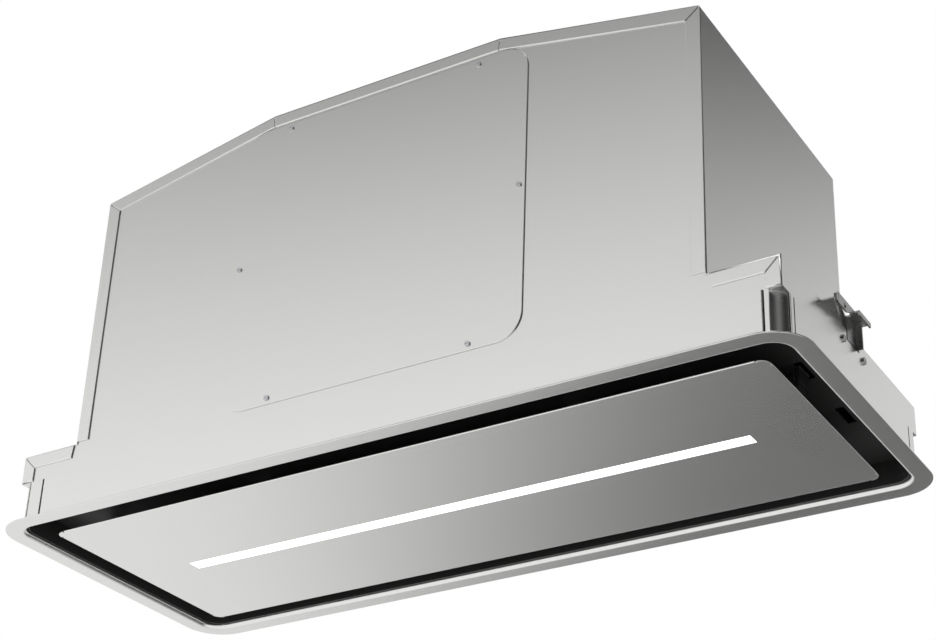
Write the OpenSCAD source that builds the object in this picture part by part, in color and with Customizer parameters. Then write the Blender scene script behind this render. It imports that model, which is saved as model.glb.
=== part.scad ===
// Built-in range hood insert with perimeter suction, a light strip and a folded steel housing.
// The origin is the centre of the flange at its underside. X runs along the length,
// Y from the front plate to the rear plate and Z up into the cabinet.

/* [View] */
// Piece to draw, or all of them

/* [Flange] */
// Length of the flange
flange_l = 700; // [690:1:740]
// Width of the flange
flange_w = 284; // [276:1:310]
// Outer corner radius of the flange
flange_r = 32; // [24:1:40]
// Radius of the bend from the flange into the collar
bend_r = 3.3; // [2.4:0.1:4]
// Corner radius of the opening
opening_r = 19; // [15:1:24]

/* [Housing] */
// Thickness of the folded sheet
sheet_t = 1; // [0.8:0.1:1.2]
// Width of the flange past the lower box at its ends
lip_x = 14.5; // [10:0.5:20]
// Width of the flange past the plates along its sides
lip_y = 14.75; // [11:0.25:20]
// Height of the shoulders
shoulder_z = 65; // [60:1:75]
// Width of a shoulder
shoulder_w = 54.5; // [46:0.5:64]
// Height at which the slopes begin
eave_z = 295; // [285:1:305]
// Length of a roof slope along X
slope_w = 172; // [160:1:178]
// Height of the roof
top_z = 329; // [325:1:345]
// Outside radius of the bends along the housing
fold_r = 2; // [1.5:0.1:3]
// Width of the in-turned strips
strip_w = 12; // [8:0.5:16]
// Width of the slit between two mitred strips
mitre_w = 0.5; // [0.3:0.1:1]
// Height of the cut-outs that show the corner posts
post_z = 40.9; // [34:0.1:46]
// Gap between the flange and the lower edge of the plates
foot_z = 3.4; // [3.4:0.1:6]
// Width of the foot that ties the upper box to the shoulders
tie_w = 16; // [10:1:20]

/* [Relief slots] */
// Width of the relief slots
slot_w = 1.5; // [1:0.1:2.5]
// Distance of a plate's near slot inside the end of the lower box
slot_near_in = 23.5; // [21:0.5:35]
// Distance of a plate's far slot inside the end of the lower box
slot_far_in = 14.5; // [13.5:0.5:17]
// Distance of a plate's near edge inside the end of the lower box
edge_near_in = 10.5; // [8.5:0.5:12]
// Distance of a plate's far edge inside the end of the lower box
edge_far_in = 9.9; // [8.5:0.1:11]
// Distance of an end wall's slots inside the plates
slot_in = 18.55; // [17:0.05:26]
// Distance of an end wall's near edge inside the plate
wall_near_in = 13.25; // [11:0.25:15]
// Distance of an end wall's far edge inside the plate
wall_far_in = 8.25; // [7:0.25:11]

/* [Access cover] */
// Length of the cover
cover_l = 270; // [250:1:290]
// Height of the cover
cover_h = 261; // [240:1:262]
// Corner radius of the cover
cover_r = 22; // [12:1:30]
// Height of the cover's centre
cover_z = 185; // [184:1:190]
// Overlap of the cover on the plate
cover_lap = 20; // [15:1:30]
// Distance of the upper and lower screws from the centre
cover_screw_x = 90; // [70:1:100]
// Distance of all cover screws from the cover's edge
cover_screw_in = 5.3; // [5:0.1:8]
// Radius of a cover screw's head
cover_head_r = 2.3; // [2:0.1:2.8]
// Height of a cover screw's head
cover_head_h = 1.1; // [0.8:0.1:1.6]

/* [Liner and filters] */
// Height of the filter deck's underside
deck_z = 24; // [24:0.5:28]
// Height of the liner's lower edge
liner_z = 4; // [4:0.5:6]
// Thickness of the liner
liner_t = 1; // [0.8:0.1:1]
// Corner radius of the liner
liner_r = 17.5; // [17:0.5:22]
// Distance of the inner rivets from the middle
rivet_near_x = 95; // [80:1:120]
// Distance of the outer rivets inside the end of the lower box
rivet_far_in = 55.5; // [50:0.5:90]
// Radius of a rivet's head
rivet_r = 3.2; // [2.6:0.1:3.8]
// Length of a filter
filter_l = 269; // [250:1:269]
// Width of a filter
filter_w = 129; // [110:1:129]
// Height of a filter
filter_h = 9; // [9:0.5:12]
// Width of the deck's bar between the filters
deck_bar = 11; // [11:0.5:16]
// Clearance round a filter in the deck
filter_gap = 1.5; // [1:0.1:2]
// Width of the filter frame's lips
lip_w = 9; // [8:0.5:10]
// Pitch of the filter's mesh
mesh_pitch = 12; // [11:0.5:14]
// Width of a bar of the mesh
mesh_bar = 2.4; // [1.8:0.1:3]
// Travel of a filter latch
latch_travel = 6; // [5:0.5:7]
// Width of a filter latch
latch_w = 30; // [24:1:36]

/* [Perimeter panel] */
// Suction gap between the liner and the panel's ends
end_gap = 19.5; // [17:0.5:24]
// Suction gap between the liner and the panel's long edges
side_gap = 18.75; // [17:0.25:21]
// Height of the panel's underside
panel_z = 1.1; // [1:0.1:1.5]
// Thickness of the panel's sheet
panel_t = 0.75; // [0.6:0.05:0.9]
// Corner radius of the panel
panel_r = 8; // [6:0.5:9]
// Width of the hems along its straight edges
hem_w = 8; // [6:0.5:9]
// Width of the relief notches at the ends of the hems
notch_w = 1.2; // [0.8:0.1:1.6]
// Height of the stiffeners
stiff_h = 6; // [4:0.5:7]
// Distance of the stiffeners from the centre
stiff_y = 46; // [40:1:48]
// Distance of a stiffener's end inside the panel's end
stiff_in = 33; // [28:1:60]

/* [Light] */
// Length of the light window
led_l = 511; // [480:1:520]
// Width of the light window
led_w = 12.5; // [10:0.5:14]
// Height of the light's channel
led_h = 8; // [7:0.5:9]
// Pitch of the light chips
chip_pitch = 20; // [15:1:30]

/* [Panel hinge] */
// Distance of the hinge axis inside the panel's rear edge
hinge_in = 8.5; // [8.5:0.5:9.5]
// Height of the hinge axis
hinge_z = 12; // [12:0.5:13]
// Distance of a hinge from the middle
hinge_x = 230; // [200:1:250]
// Radius of the hinge pins
hinge_pin_r = 2; // [1.8:0.1:2.2]
// Radius of the hinge barrel
barrel_r = 4.2; // [3.8:0.1:4.4]
// Distance of the strikes inside the panel's ends
strike_in = 3; // [3:0.5:12]
// Distance of the strikes from the long axis
strike_y = 38.5; // [32:0.5:45]
// Length of a catch slot
catch_l = 27; // [24:1:30]

/* [Blower] */
// Distance of the blower's axis from the middle
blower_x = -63; // [-64:1:-62]
// Height of the blower's axis
blower_z = 184; // [184:1:186]
// Outer radius of the impeller
wheel_r = 85; // [80:1:86]
// Length of the impeller
wheel_l = 110; // [100:1:114]
// Number of blades
blade_n = 36; // [24:1:40]
// Depth of a blade from the rim towards the axis
blade_d = 17; // [14:0.5:18]
// Thickness of a blade
blade_t = 1; // [0.8:0.1:1.2]
// Step between the arcs of the scroll
scroll_step = 12; // [10:0.5:12]
// Radius of the scroll's first arc
scroll_r = 98; // [97:0.5:99]
// Inner width of the scroll
scroll_w = 130; // [126:1:132]
// Thickness of the scroll's sheet
scroll_t = 1.2; // [1:0.1:1.5]
// Height of the scroll's outlet
outlet_z = 304; // [302:1:306]
// Width of the scroll's outlet
outlet_w = 130; // [126:1:130]
// Radius of the inlet rings at the throat
inlet_r = 66; // [62:1:68]
// Radius of the motor
motor_r = 44; // [38:1:48]
// Radius of the motor shaft
shaft_r = 4; // [3:0.5:5]

/* [Outlet] */
// Outside radius of the duct collar
duct_r = 74.5; // [72:0.5:74.5]
// Height of the collar above the roof
duct_h = 43; // [36:1:43]
// Wall of the collar
duct_t = 1.2; // [1:0.1:1.5]
// Radius of the collar's foot
duct_foot_r = 90; // [88:1:94]
// Height of the damper's axis above the roof
damper_h = 17; // [15:0.5:18]
// Radius of the damper pin
damper_pin_r = 1.5; // [1.2:0.1:1.6]

/* [Electrics] */
// Width of the control box
box_w = 150; // [130:5:170]
// Height of the control box
box_h = 120; // [100:5:125]
// Depth of the control box
box_d = 42; // [36:1:46]
// Height of the control box's centre
box_z = 195; // [190:1:200]
// Bore of the lead entry
gland_r = 4.5; // [3:0.5:6]
// Distance of the lead entry from the middle
gland_x = 205; // [190:1:220]
// Height of the lead entry
gland_z = 235; // [220:1:245]

/* [Clamps] */
// Distance of the clamp screws from the middle of the end wall
clamp_screw_y = 19.2; // [17:0.1:21]
// Height of the clamp screws
clamp_screw_z = 53.5; // [52:0.5:55]
// Width of the clamp's window
window_w = 24; // [23.6:0.1:26]
// Height of the window's lower edge
window_z = 56.5; // [56:0.1:58]
// Depth of the window's slot in the shoulder
window_d = 9; // [8:0.5:11]
// Projection of the clamp's side plate
cheek_x = 8; // [6:0.5:9]
// Top of the clamp's side plate
side_z = 76.5; // [72:0.5:80]
// Angle of the clamp's wing to the end wall
wing_a = 13.5; // [12:0.5:14]
// Thickness of the clamp's ears
ear_t = 1.4; // [1.2:0.1:1.5]
// Width of the catch's hook
hook_w = 21; // [18:0.5:21]
// Projection of the catch's hook
hook_x = 11.3; // [9:0.1:12]
// Height of the hook's underside
hook_z = 75.5; // [74:0.5:79]
// Distance of the catch's pivot inside the end wall's face
pivot_in = 5; // [4.6:0.1:5.5]
// Radius of the catch's pivot pin
pivot_r = 1.2; // [1:0.1:1.4]

/* [Hidden] */
$fn = 64;
steel = [0.80, 0.80, 0.79];
black = [0.08, 0.08, 0.08];
zinc = [0.66, 0.67, 0.68];
aluminium = [0.82, 0.83, 0.84];
grey = [0.45, 0.46, 0.47];
green = [0.10, 0.35, 0.20];
white = [0.96, 0.97, 0.95];
skin = 0.05;
run = 0.06;
lower_x = flange_l / 2 - lip_x;
plate_y = flange_w / 2 - lip_y;
upper_l = 2 * (lower_x - shoulder_w);
flat_l = upper_l - 2 * slope_w;
slot_near_x = lower_x - slot_near_in;
slot_far_x = lower_x - slot_far_in;
slot_y = plate_y - slot_in;
slot_z = foot_z + 4;
strip_y = plate_y + sheet_t;
collar_x = lower_x - 2 * sheet_t;
collar_y = plate_y - 2 * sheet_t;
opening_l = 2 * (collar_x + bend_r);
opening_w = 2 * (collar_y + bend_r);
slope_a = atan2(top_z - eave_z, slope_w);
panel_l = 2 * (collar_x - liner_t - end_gap);
panel_w = 2 * (collar_y - liner_t - side_gap);
filter_x = (filter_l + deck_bar) / 2;
hinge_y = panel_w / 2 - hinge_in;
strike_x = panel_l / 2 - strike_in;
strip_foot = shoulder_z + 1.5;
post_depth = opening_r - bend_r + 2;
shoulder_z0 = shoulder_z - sheet_t;
deck_top = deck_z + liner_t;
hem_top = panel_z + 2 * panel_t;
panel_top = panel_z + panel_t;
outlet_x = blower_x + scroll_step / 2 + scroll_r + 2 * scroll_step - outlet_w / 2;
roof_in = top_z - sheet_t;
scroll_half = scroll_w / 2;
side_out = scroll_half + scroll_t;
arm_y = side_out + 4.8;
wall_x = upper_l / 2 - sheet_t;
screw_r = 1.6;
ear_y = 0.3 - window_w / 2;
pivot_x = lower_x - pivot_in;
pivot_z = window_z + 2;

// Slab between two opposite corners
module slab(a, b) {
  translate(a)
    cube(b - a);
}

// Rounded rectangle about the origin
module rrect(l, w, r) {
  square([l - 2 * r, w], center = true);
  square([l, w - 2 * r], center = true);
  for (sx = [-1, 1])
    for (sy = [-1, 1])
      translate([sx * (l / 2 - r), sy * (w / 2 - r)])
        circle(r);
}

// Drawing in X and Z, carried along Y
module along_y(y0, y1) {
  translate([0, y1, 0])
    rotate([90, 0, 0])
      linear_extrude(y1 - y0)
        children();
}

// Drawing in Y and Z, carried along X
module along_x(x0, x1) {
  translate([x0, 0, 0])
    rotate([90, 0, 90])
      linear_extrude(x1 - x0)
        children();
}

// Round bar along Y
module bar_y(r, y0, y1) {
  translate([0, y1, 0])
    rotate([90, 0, 0])
      cylinder(r = r, h = y1 - y0);
}

// Round bar along X
module bar_x(r, x0, x1) {
  translate([x0, 0, 0])
    rotate([0, 90, 0])
      cylinder(r = r, h = x1 - x0);
}

// Copy on the far side, half a turn round Z
module half_turn() {
  children();
  rotate([0, 0, 180])
    children();
}

// Copies at both signs of X
module both_x(x) {
  for (s = [-1, 1])
    translate([s * x, 0, 0])
      children();
}

// Upper box at depth d inside its skin
function upper_x(d) = upper_l / 2 - d;
function eave_at(d) = eave_z - d * (1 - sin(slope_a)) / cos(slope_a);
function ridge_at(d) = flat_l / 2 - d * (1 - cos(slope_a)) / sin(slope_a);

// Wedge that a bend of radius r leaves at the eave
module eave_trim(d, r) {
  run_l = r * (1 - sin(slope_a)) / cos(slope_a);
  p = [upper_x(d), eave_at(d)];
  c = [p[0] - r, p[1] - run_l];
  difference() {
    polygon([p, [p[0], c[1]], c, p + run_l * [-cos(slope_a), sin(slope_a)]]);
    translate(c)
      circle(r);
  }
}

// Outline of the upper box, from height z0, with bent eaves
module upper_outline(d, z0, r) {
  difference() {
    polygon([[-upper_x(d), z0], [upper_x(d), z0], [upper_x(d), eave_at(d)],
      [ridge_at(d), top_z - d], [-ridge_at(d), top_z - d], [-upper_x(d), eave_at(d)]]);
    eave_trim(d, r);
    mirror([1, 0])
      eave_trim(d, r);
  }
}

// Slit of the mitre from p to q
module slit(p, q) {
  d = q - p;
  translate(p)
    rotate(atan2(d[1], d[0]))
      translate([0, -mitre_w / 2])
        square([norm(d) + mitre_w, mitre_w]);
}

// Relief slots of the front plate, the rear plate and both ends, as blocks of depth d
module relief_slots(d) {
  h = post_z + 1 - slot_z;
  half_turn()
    for (x = [-slot_near_x, slot_far_x])
      translate([x - slot_w / 2, -plate_y - 1, slot_z])
        cube([slot_w, d + 1, h]);
  for (sx = [-1, 1])
    for (sy = [-1, 1])
      translate([sx * (lower_x + 0.5 - d / 2), sy * slot_y, slot_z + h / 2])
        cube([d + 1, slot_w, h], center = true);
}

// Flange frame: flange, bend and collar, with slots that free its corner posts
module flange_frame() {
  difference() {
    flange_body();
    color(steel) {
      relief_slots(post_depth);
      liner_rivet_at()
        bar_y(screw_r + run, collar_y - 1, plate_y);
    }
  }
}

// Flange, bend and collar before their slots and holes
module flange_body() {
  corner_x = opening_l / 2 - opening_r;
  corner_y = opening_w / 2 - opening_r;
  post_r = opening_r - bend_r;
  color(steel) {
    linear_extrude(sheet_t)
      difference() {
        rrect(flange_l, flange_w, flange_r);
        rrect(opening_l, opening_w, opening_r);
      }
    translate([0, 0, bend_r])
      linear_extrude(post_z - bend_r)
        difference() {
          rrect(2 * (collar_x + sheet_t), 2 * (collar_y + sheet_t), post_r + sheet_t);
          rrect(2 * collar_x, 2 * collar_y, post_r);
        }
    for (s = [-1, 1]) {
      rotate([0, 0, 90 - 90 * s])
        translate([0, -opening_w / 2, 0])
          along_x(-corner_x, corner_x)
            bend();
      rotate([0, 0, 90 * s])
        translate([0, -opening_l / 2, 0])
          along_x(-corner_y, corner_y)
            bend();
    }
    for (q = [0:3])
      translate([(q == 0 || q == 3 ? 1 : -1) * corner_x, (q < 2 ? 1 : -1) * corner_y, 0])
        rotate([0, 0, 90 * q])
          rotate_extrude(angle = 90)
            translate([opening_r, 0])
              mirror([1, 0])
                bend();
  }
}

// Section of the bend, from the flange into the collar
module bend() {
  intersection() {
    translate([0, bend_r])
      difference() {
        circle(bend_r);
        circle(bend_r - sheet_t);
      }
    square(bend_r);
  }
}

// Outline of the front and rear plates
module plate_outline() {
  near_x = lower_x - edge_near_in;
  far_x = lower_x - edge_far_in;
  difference() {
    union() {
      upper_outline(sheet_t, foot_z, fold_r - sheet_t);
      polygon([[-near_x, foot_z], [far_x, foot_z], [far_x, post_z],
        [lower_x - sheet_t, post_z], [lower_x - sheet_t, shoulder_z0],
        [sheet_t - lower_x, shoulder_z0], [sheet_t - lower_x, post_z],
        [-near_x, post_z]]);
    }
    for (x = [-slot_near_x, slot_far_x])
      translate([x - slot_w / 2, slot_z])
        square([slot_w, post_z - slot_z]);
  }
}

// Screw positions round the cover, in X and Z
cover_screw_at = [
  for (s = [-1, 1])
    for (t = [-1, 0, 1])
      [s * (t == 0 ? cover_l / 2 - cover_screw_in : cover_screw_x),
        cover_z + t * (cover_h / 2 - cover_screw_in)]];

// Front plate
module front_plate() {
  color(steel)
    along_y(-plate_y, sheet_t - plate_y)
      difference() {
        plate_outline();
        translate([0, cover_z])
          rrect(cover_l - 2 * cover_lap, cover_h - 2 * cover_lap, cover_r - 8);
        for (p = cover_screw_at)
          translate(p)
            circle(screw_r + run);
      }
}

// Rear plate
module rear_plate() {
  color(steel)
    rotate([0, 0, 180])
      along_y(-plate_y, sheet_t - plate_y)
        difference() {
          plate_outline();
          translate([-gland_x, gland_z])
            circle(gland_r + 5);
        }
}

// Wrapper of the upper box
module top_wrapper() {
  color(steel) {
    difference() {
      along_y(-strip_y, strip_y)
        difference() {
          upper_outline(0, shoulder_z, fold_r);
          upper_outline(sheet_t, shoulder_z - 1, fold_r - sheet_t);
        }
      translate([0, 0, roof_in - 1])
        cylinder(r = duct_r + 1.5, h = sheet_t + 2);
      collar_screw_holes(roof_in - 1, sheet_t + 2);
    }
    half_turn()
      along_y(-strip_y, -plate_y)
        difference() {
          upper_outline(0, strip_foot, fold_r);
          upper_outline(strip_w, strip_foot - 1, fold_r);
          for (m = [0, 1])
            mirror([m, 0]) {
              slit([ridge_at(0), top_z - 0.6], [ridge_at(strip_w), top_z - strip_w]);
              slit([upper_x(0.6), eave_at(0.6)], [upper_x(strip_w), eave_at(strip_w)]);
            }
        }
    for (s = [-1, 1])
      translate([s * (wall_x - tie_w / 2), 0, shoulder_z + sheet_t / 2])
        cube([tie_w, 2 * (plate_y - sheet_t) - 1, sheet_t], center = true);
  }
}

// Holes for the screws of the duct collar
module collar_screw_holes(z, h) {
  for (a = [45:90:315])
    rotate([0, 0, a])
      translate([duct_foot_r - 5.5, 0, z])
        cylinder(r = screw_r + run, h = h);
}

// Right end: shoulder, end wall, strips and corner flaps
module end_wrapper() {
  tie_x = wall_x - tie_w;
  wall_in = lower_x - sheet_t;
  near_y = plate_y - wall_near_in;
  far_y = plate_y - wall_far_in;
  color(steel) {
    difference() {
      union() {
        slab([wall_x, -plate_y, shoulder_z0], [lower_x, plate_y, shoulder_z]);
        slab([tie_x, sheet_t - plate_y, shoulder_z0], [wall_x + 1, plate_y - sheet_t, shoulder_z]);
        along_x(wall_in, lower_x)
          difference() {
            polygon([[-near_y, foot_z], [far_y, foot_z], [far_y, post_z],
              [plate_y, post_z], [plate_y, shoulder_z], [-plate_y, shoulder_z],
              [-plate_y, post_z], [-near_y, post_z]]);
            for (y = [-slot_y, slot_y])
              translate([y - slot_w / 2, slot_z])
                square([slot_w, post_z - slot_z]);
            for (y = [-clamp_screw_y, clamp_screw_y])
              translate([y, clamp_screw_z])
                circle(screw_r + run);
          }
        for (s = [-1, 1])
          mirror([0, (1 - s) / 2, 0])
            slab([wall_in - 14, plate_y - 15, post_z], [wall_in + skin, plate_y - sheet_t, post_z + sheet_t]);
      }
      slab([lower_x - window_d, -window_w / 2, window_z], [lower_x + 1, window_w / 2, shoulder_z + 1]);
    }
    for (m = [0, 1])
      mirror([0, m, 0])
        along_y(-strip_y, -plate_y)
          end_strips();
  }
}

// In-turned strips of an end wrapper
module end_strips() {
  near_x = upper_l / 2 + 2;
  in_z = shoulder_z - strip_w;
  difference() {
    union() {
      polygon([[near_x, shoulder_z], [lower_x, shoulder_z], [lower_x - strip_w, in_z],
        [near_x + 1.6, in_z]]);
      polygon([[lower_x, shoulder_z], [lower_x, post_z], [lower_x - strip_w, post_z],
        [lower_x - strip_w, in_z]]);
    }
    slit([lower_x - 0.6, shoulder_z - 0.6], [lower_x - strip_w, in_z]);
  }
}

module end_wrapper_right() {
  end_wrapper();
}

module end_wrapper_left() {
  rotate([0, 0, 180])
    end_wrapper();
}

// Raised cover over the service opening
module access_cover() {
  color(steel)
    along_y(-strip_y, -plate_y)
      difference() {
        translate([0, cover_z])
          rrect(cover_l, cover_h, cover_r);
        for (p = cover_screw_at)
          translate(p)
            circle(screw_r + run);
      }
}

module cover_screws() {
  color(zinc)
    for (p = cover_screw_at)
      translate([p[0], 0, p[1]])
        pan_screw(-strip_y, cover_head_r, cover_head_h, 5);
}

// Pan-headed screw along Y, its seat at y
module pan_screw(y, head_r, head_h, l) {
  difference() {
    bar_y(head_r, y - head_h, y);
    slab([-head_r, y - head_h - 1, -0.3], [head_r, y - head_h * 0.5, 0.3]);
  }
  bar_y(screw_r, y - skin, y + l);
}

// Black sleeve behind the collar with the filter deck
module inner_liner() {
  color(black)
    difference() {
      translate([0, 0, liner_z])
        linear_extrude(deck_top - liner_z)
          rrect(2 * collar_x, 2 * collar_y, liner_r);
      translate([0, 0, liner_z - 1])
        linear_extrude(deck_z - liner_z + 1)
          rrect(2 * (collar_x - liner_t), 2 * (collar_y - liner_t), liner_r - liner_t);
      both_x(filter_x)
        translate([0, 0, deck_z - 1])
          linear_extrude(liner_t + 2)
            rrect(filter_l + 2 * filter_gap, filter_w + 2 * filter_gap, 4);
      for (sx = [-1, 1])
        for (sy = [-1, 1])
          translate([sx * (strike_x + 2.5), sy * strike_y, deck_z])
            cube([7, catch_l, 4 * liner_t], center = true);
      liner_rivet_at()
        bar_y(screw_r + run, collar_y - 2 * liner_t, collar_y + 1);
    }
}

// Places of the liner's rivets, on the long sides
module liner_rivet_at() {
  for (a = [0, 180])
    rotate([0, 0, a])
      for (sx = [-1, 1])
        for (x = [rivet_near_x, lower_x - rivet_far_in])
          translate([sx * x, 0, (liner_z + deck_z) / 2])
            children();
}

module liner_rivets() {
  color(black)
    liner_rivet_at() {
      bar_y(screw_r, collar_y - liner_t - skin, collar_y + sheet_t - run);
      translate([0, collar_y - liner_t, 0])
        intersection() {
          translate([0, 0.7 * rivet_r, 0])
            sphere(r = 1.13 * rivet_r);
          bar_y(rivet_r, -rivet_r, 0);
        }
    }
}

// Filter: channel frame with a tongue at the rear and a slot for the latch
module filter_frame() {
  z0 = deck_z + 0.2;
  top = z0 + filter_h;
  color(aluminium)
    difference() {
      union() {
        translate([0, 0, z0])
          linear_extrude(filter_h)
            rrect(filter_l, filter_w, 4);
        slab([-60, filter_w / 2 - 1, deck_top], [60, filter_w / 2 + 8.5, deck_top + 1]);
      }
      translate([0, 0, z0 + 1])
        linear_extrude(filter_h - 2)
          rrect(filter_l - 2, filter_w - 2, 3);
      translate([0, 0, z0 - 1])
        linear_extrude(filter_h + 2)
          rrect(filter_l - 2 * lip_w, filter_w - 2 * lip_w, 3);
      slab([-latch_w / 2 - 0.4, -filter_w / 2 - 1, deck_top + 0.25],
        [latch_w / 2 + 0.4, -filter_w / 2 + 2, deck_top + 2.05]);
      slab([-6.4, -filter_w / 2 + 2.6, z0 - 1], [6.4, -filter_w / 2 + 6.4 + latch_travel, z0 + 1.5]);
      slab([-60, filter_w / 2 + 4, deck_top - 1], [60, filter_w / 2 + 6, deck_top - 0.5]);
    }
}

// Pressed mesh of a filter
module filter_mesh() {
  l = filter_l - 2.6;
  w = filter_w - 2.6;
  corner_r = 3;
  nx = floor((filter_l - 2 * lip_w) / mesh_pitch);
  ny = floor((filter_w - 2 * lip_w) / mesh_pitch);
  hole = mesh_pitch - mesh_bar;
  color(zinc)
    translate([0, 0, deck_top + 2.4])
      linear_extrude(filter_h - 4.2)
        difference() {
          rrect(l, w, corner_r);
          for (i = [0:nx - 1])
            for (j = [0:ny - 1])
              translate([(i - (nx - 1) / 2) * mesh_pitch, (j - (ny - 1) / 2) * mesh_pitch])
                rotate(45)
                  square(hole * 0.86, center = true);
        }
}

// Sliding latch: bolt over the deck's edge, stem and finger pull
module filter_latch() {
  y0 = -filter_w / 2 - filter_gap - 4;
  y1 = -filter_w / 2 + 8;
  color(zinc) {
    slab([-latch_w / 2, y0, deck_top + 0.35], [latch_w / 2, y1, deck_top + 1.95]);
    slab([-5.5, y1 - 4.5, deck_z - 7], [5.5, y1 - 2, deck_top + 1]);
    slab([-9, y1 - 6, deck_z - 8], [9, y1 - 0.5, deck_z - 6.5]);
  }
}

module filter_frame_left() {
  translate([-filter_x, 0, 0])
    filter_frame();
}

module filter_frame_right() {
  translate([filter_x, 0, 0])
    filter_frame();
}

module filter_mesh_left() {
  translate([-filter_x, 0, 0])
    filter_mesh();
}

module filter_mesh_right() {
  translate([filter_x, 0, 0])
    filter_mesh();
}

module filter_latch_left() {
  translate([-filter_x, 0, 0])
    filter_latch();
}

module filter_latch_right() {
  translate([filter_x, 0, 0])
    filter_latch();
}

// Hem folded over along an edge at y, from x = -half to half, with its round outer edge
module rolled_hem(y, half) {
  bar_x_at = y - panel_t;
  translate([0, bar_x_at, panel_top])
    bar_x(panel_t, -half, half);
  slab([-half, y - hem_w, panel_top - skin], [half, bar_x_at, hem_top]);
}

// Perimeter panel: sheet, rolled hems with notched ends and the light slot
module perimeter_panel() {
  hem_x = panel_l / 2 - panel_r - notch_w;
  hem_y = panel_w / 2 - panel_r - notch_w;
  color(steel)
    difference() {
      union() {
        translate([0, 0, panel_z])
          linear_extrude(panel_t)
            difference() {
              rrect(panel_l, panel_w, panel_r);
              for (s = [-1, 1]) {
                translate([-hem_x, s * panel_w / 2 - panel_t])
                  square([2 * hem_x, 2 * panel_t]);
                translate([s * panel_l / 2 - panel_t, -hem_y])
                  square([2 * panel_t, 2 * hem_y]);
              }
            }
        half_turn() {
          rolled_hem(panel_w / 2, hem_x);
          rotate([0, 0, 90])
            rolled_hem(panel_l / 2, hem_y);
        }
      }
      translate([0, 0, panel_z - 1])
        linear_extrude(3)
          square([led_l, led_w], center = true);
      for (sx = [-1, 1])
        for (sy = [-1, 1]) {
          translate([sx * (hem_x + notch_w / 2), sy * panel_w / 2, panel_z])
            cube([notch_w, 3, 6], center = true);
          translate([sx * panel_l / 2, sy * (hem_y + notch_w / 2), panel_z])
            cube([3, notch_w, 6], center = true);
        }
    }
}

// Hat-shaped stiffeners on the panel's back
module panel_stiffeners() {
  color(zinc)
    for (s = [-1, 1])
      translate([0, s * stiff_y, panel_top])
        along_x(stiff_in - panel_l / 2, panel_l / 2 - stiff_in)
          difference() {
            union() {
              translate([-5, 0])
                square([10, stiff_h]);
              translate([-12, 0])
                square([24, 0.8]);
            }
            translate([-4.2, -1])
              square([8.4, stiff_h + 0.2]);
          }
}

// Channel of the light strip
module led_channel() {
  color(aluminium)
    translate([0, 0, panel_top])
      along_x(-led_l / 2 - 1.5, led_l / 2 + 1.5)
        difference() {
          union() {
            translate([-led_w / 2 - 2, 0])
              square([led_w + 4, led_h]);
            translate([-led_w / 2 - 7, 0])
              square([led_w + 14, 1.2]);
          }
          translate([-led_w / 2 - 0.6, -1])
            square([led_w + 1.2, led_h - 0.5]);
          for (x = [-1, 1])
            translate([x * 3 - 0.8, led_h - 1])
              square([1.6, 2]);
        }
}

// Light board with its chips
module led_board() {
  z = panel_top + led_h - 3.1;
  n = floor((led_l - 10) / chip_pitch);
  color(white) {
    slab([-led_l / 2 + 1, -4.5, z], [led_l / 2 - 1, 4.5, z + 1.6]);
    for (i = [0:n - 1])
      translate([(i - (n - 1) / 2) * chip_pitch, 0, z - 0.4])
        cube([3.5, 2.8, 1], center = true);
  }
}

// Diffuser bar, flush with the panel
module led_diffuser() {
  color([1, 1, 1])
    along_x(-led_l / 2 + 0.2, led_l / 2 - 0.2) {
      translate([-led_w / 2 + 0.1, panel_z])
        square([led_w - 0.2, 1.6]);
      translate([-led_w / 2 - 0.4, panel_top + 0.1])
        square([led_w + 0.8, 1]);
    }
}

module led_end_caps() {
  color(grey)
    for (s = [-1, 1])
      translate([s * (led_l / 2 + 2.5), 0, panel_top + led_h / 2])
        difference() {
          cube([2, led_w + 4, led_h], center = true);
          translate([s * 1, 0, 1])
            cube([1, 3, 3], center = true);
        }
}

// Panel side of the hinges
module hinge_leaves() {
  color(zinc)
    both_x(hinge_x)
      difference() {
        union() {
          slab([-16, 66, panel_top], [16, panel_w / 2 - hem_w - 0.3, panel_top + 1]);
          slab([-8, hinge_y - barrel_r, panel_top + 1 - skin], [8, hinge_y - 1.4, hinge_z]);
          translate([0, hinge_y, hinge_z])
            bar_x(barrel_r, -8, 8);
        }
        translate([0, hinge_y, hinge_z])
          bar_x(hinge_pin_r + run, -9, 9);
        for (x = [-11.5, 11.5])
          translate([x, 72, 0])
            cylinder(r = 1.7, h = 8);
      }
}

// Housing side of the hinges
module hinge_brackets() {
  color(black)
    both_x(hinge_x)
      difference() {
        union() {
          slab([-18, hinge_y - 10, deck_z - 1], [18, hinge_y + 10, deck_z]);
          for (s = [-1, 1])
            translate([s * 9.2, 0, 0]) {
              slab([-0.8, hinge_y - 5, hinge_z], [0.8, hinge_y + 5, deck_z]);
              translate([0, hinge_y, hinge_z])
                bar_x(5, -0.8, 0.8);
            }
        }
        translate([0, hinge_y, hinge_z])
          bar_x(hinge_pin_r + run / 2, -11, 11);
      }
}

module hinge_pins() {
  color(zinc)
    both_x(hinge_x)
      translate([0, hinge_y, hinge_z]) {
        bar_x(hinge_pin_r, -12, 12);
        bar_x(hinge_pin_r + 1.2, 10.3, 12);
      }
}

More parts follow.
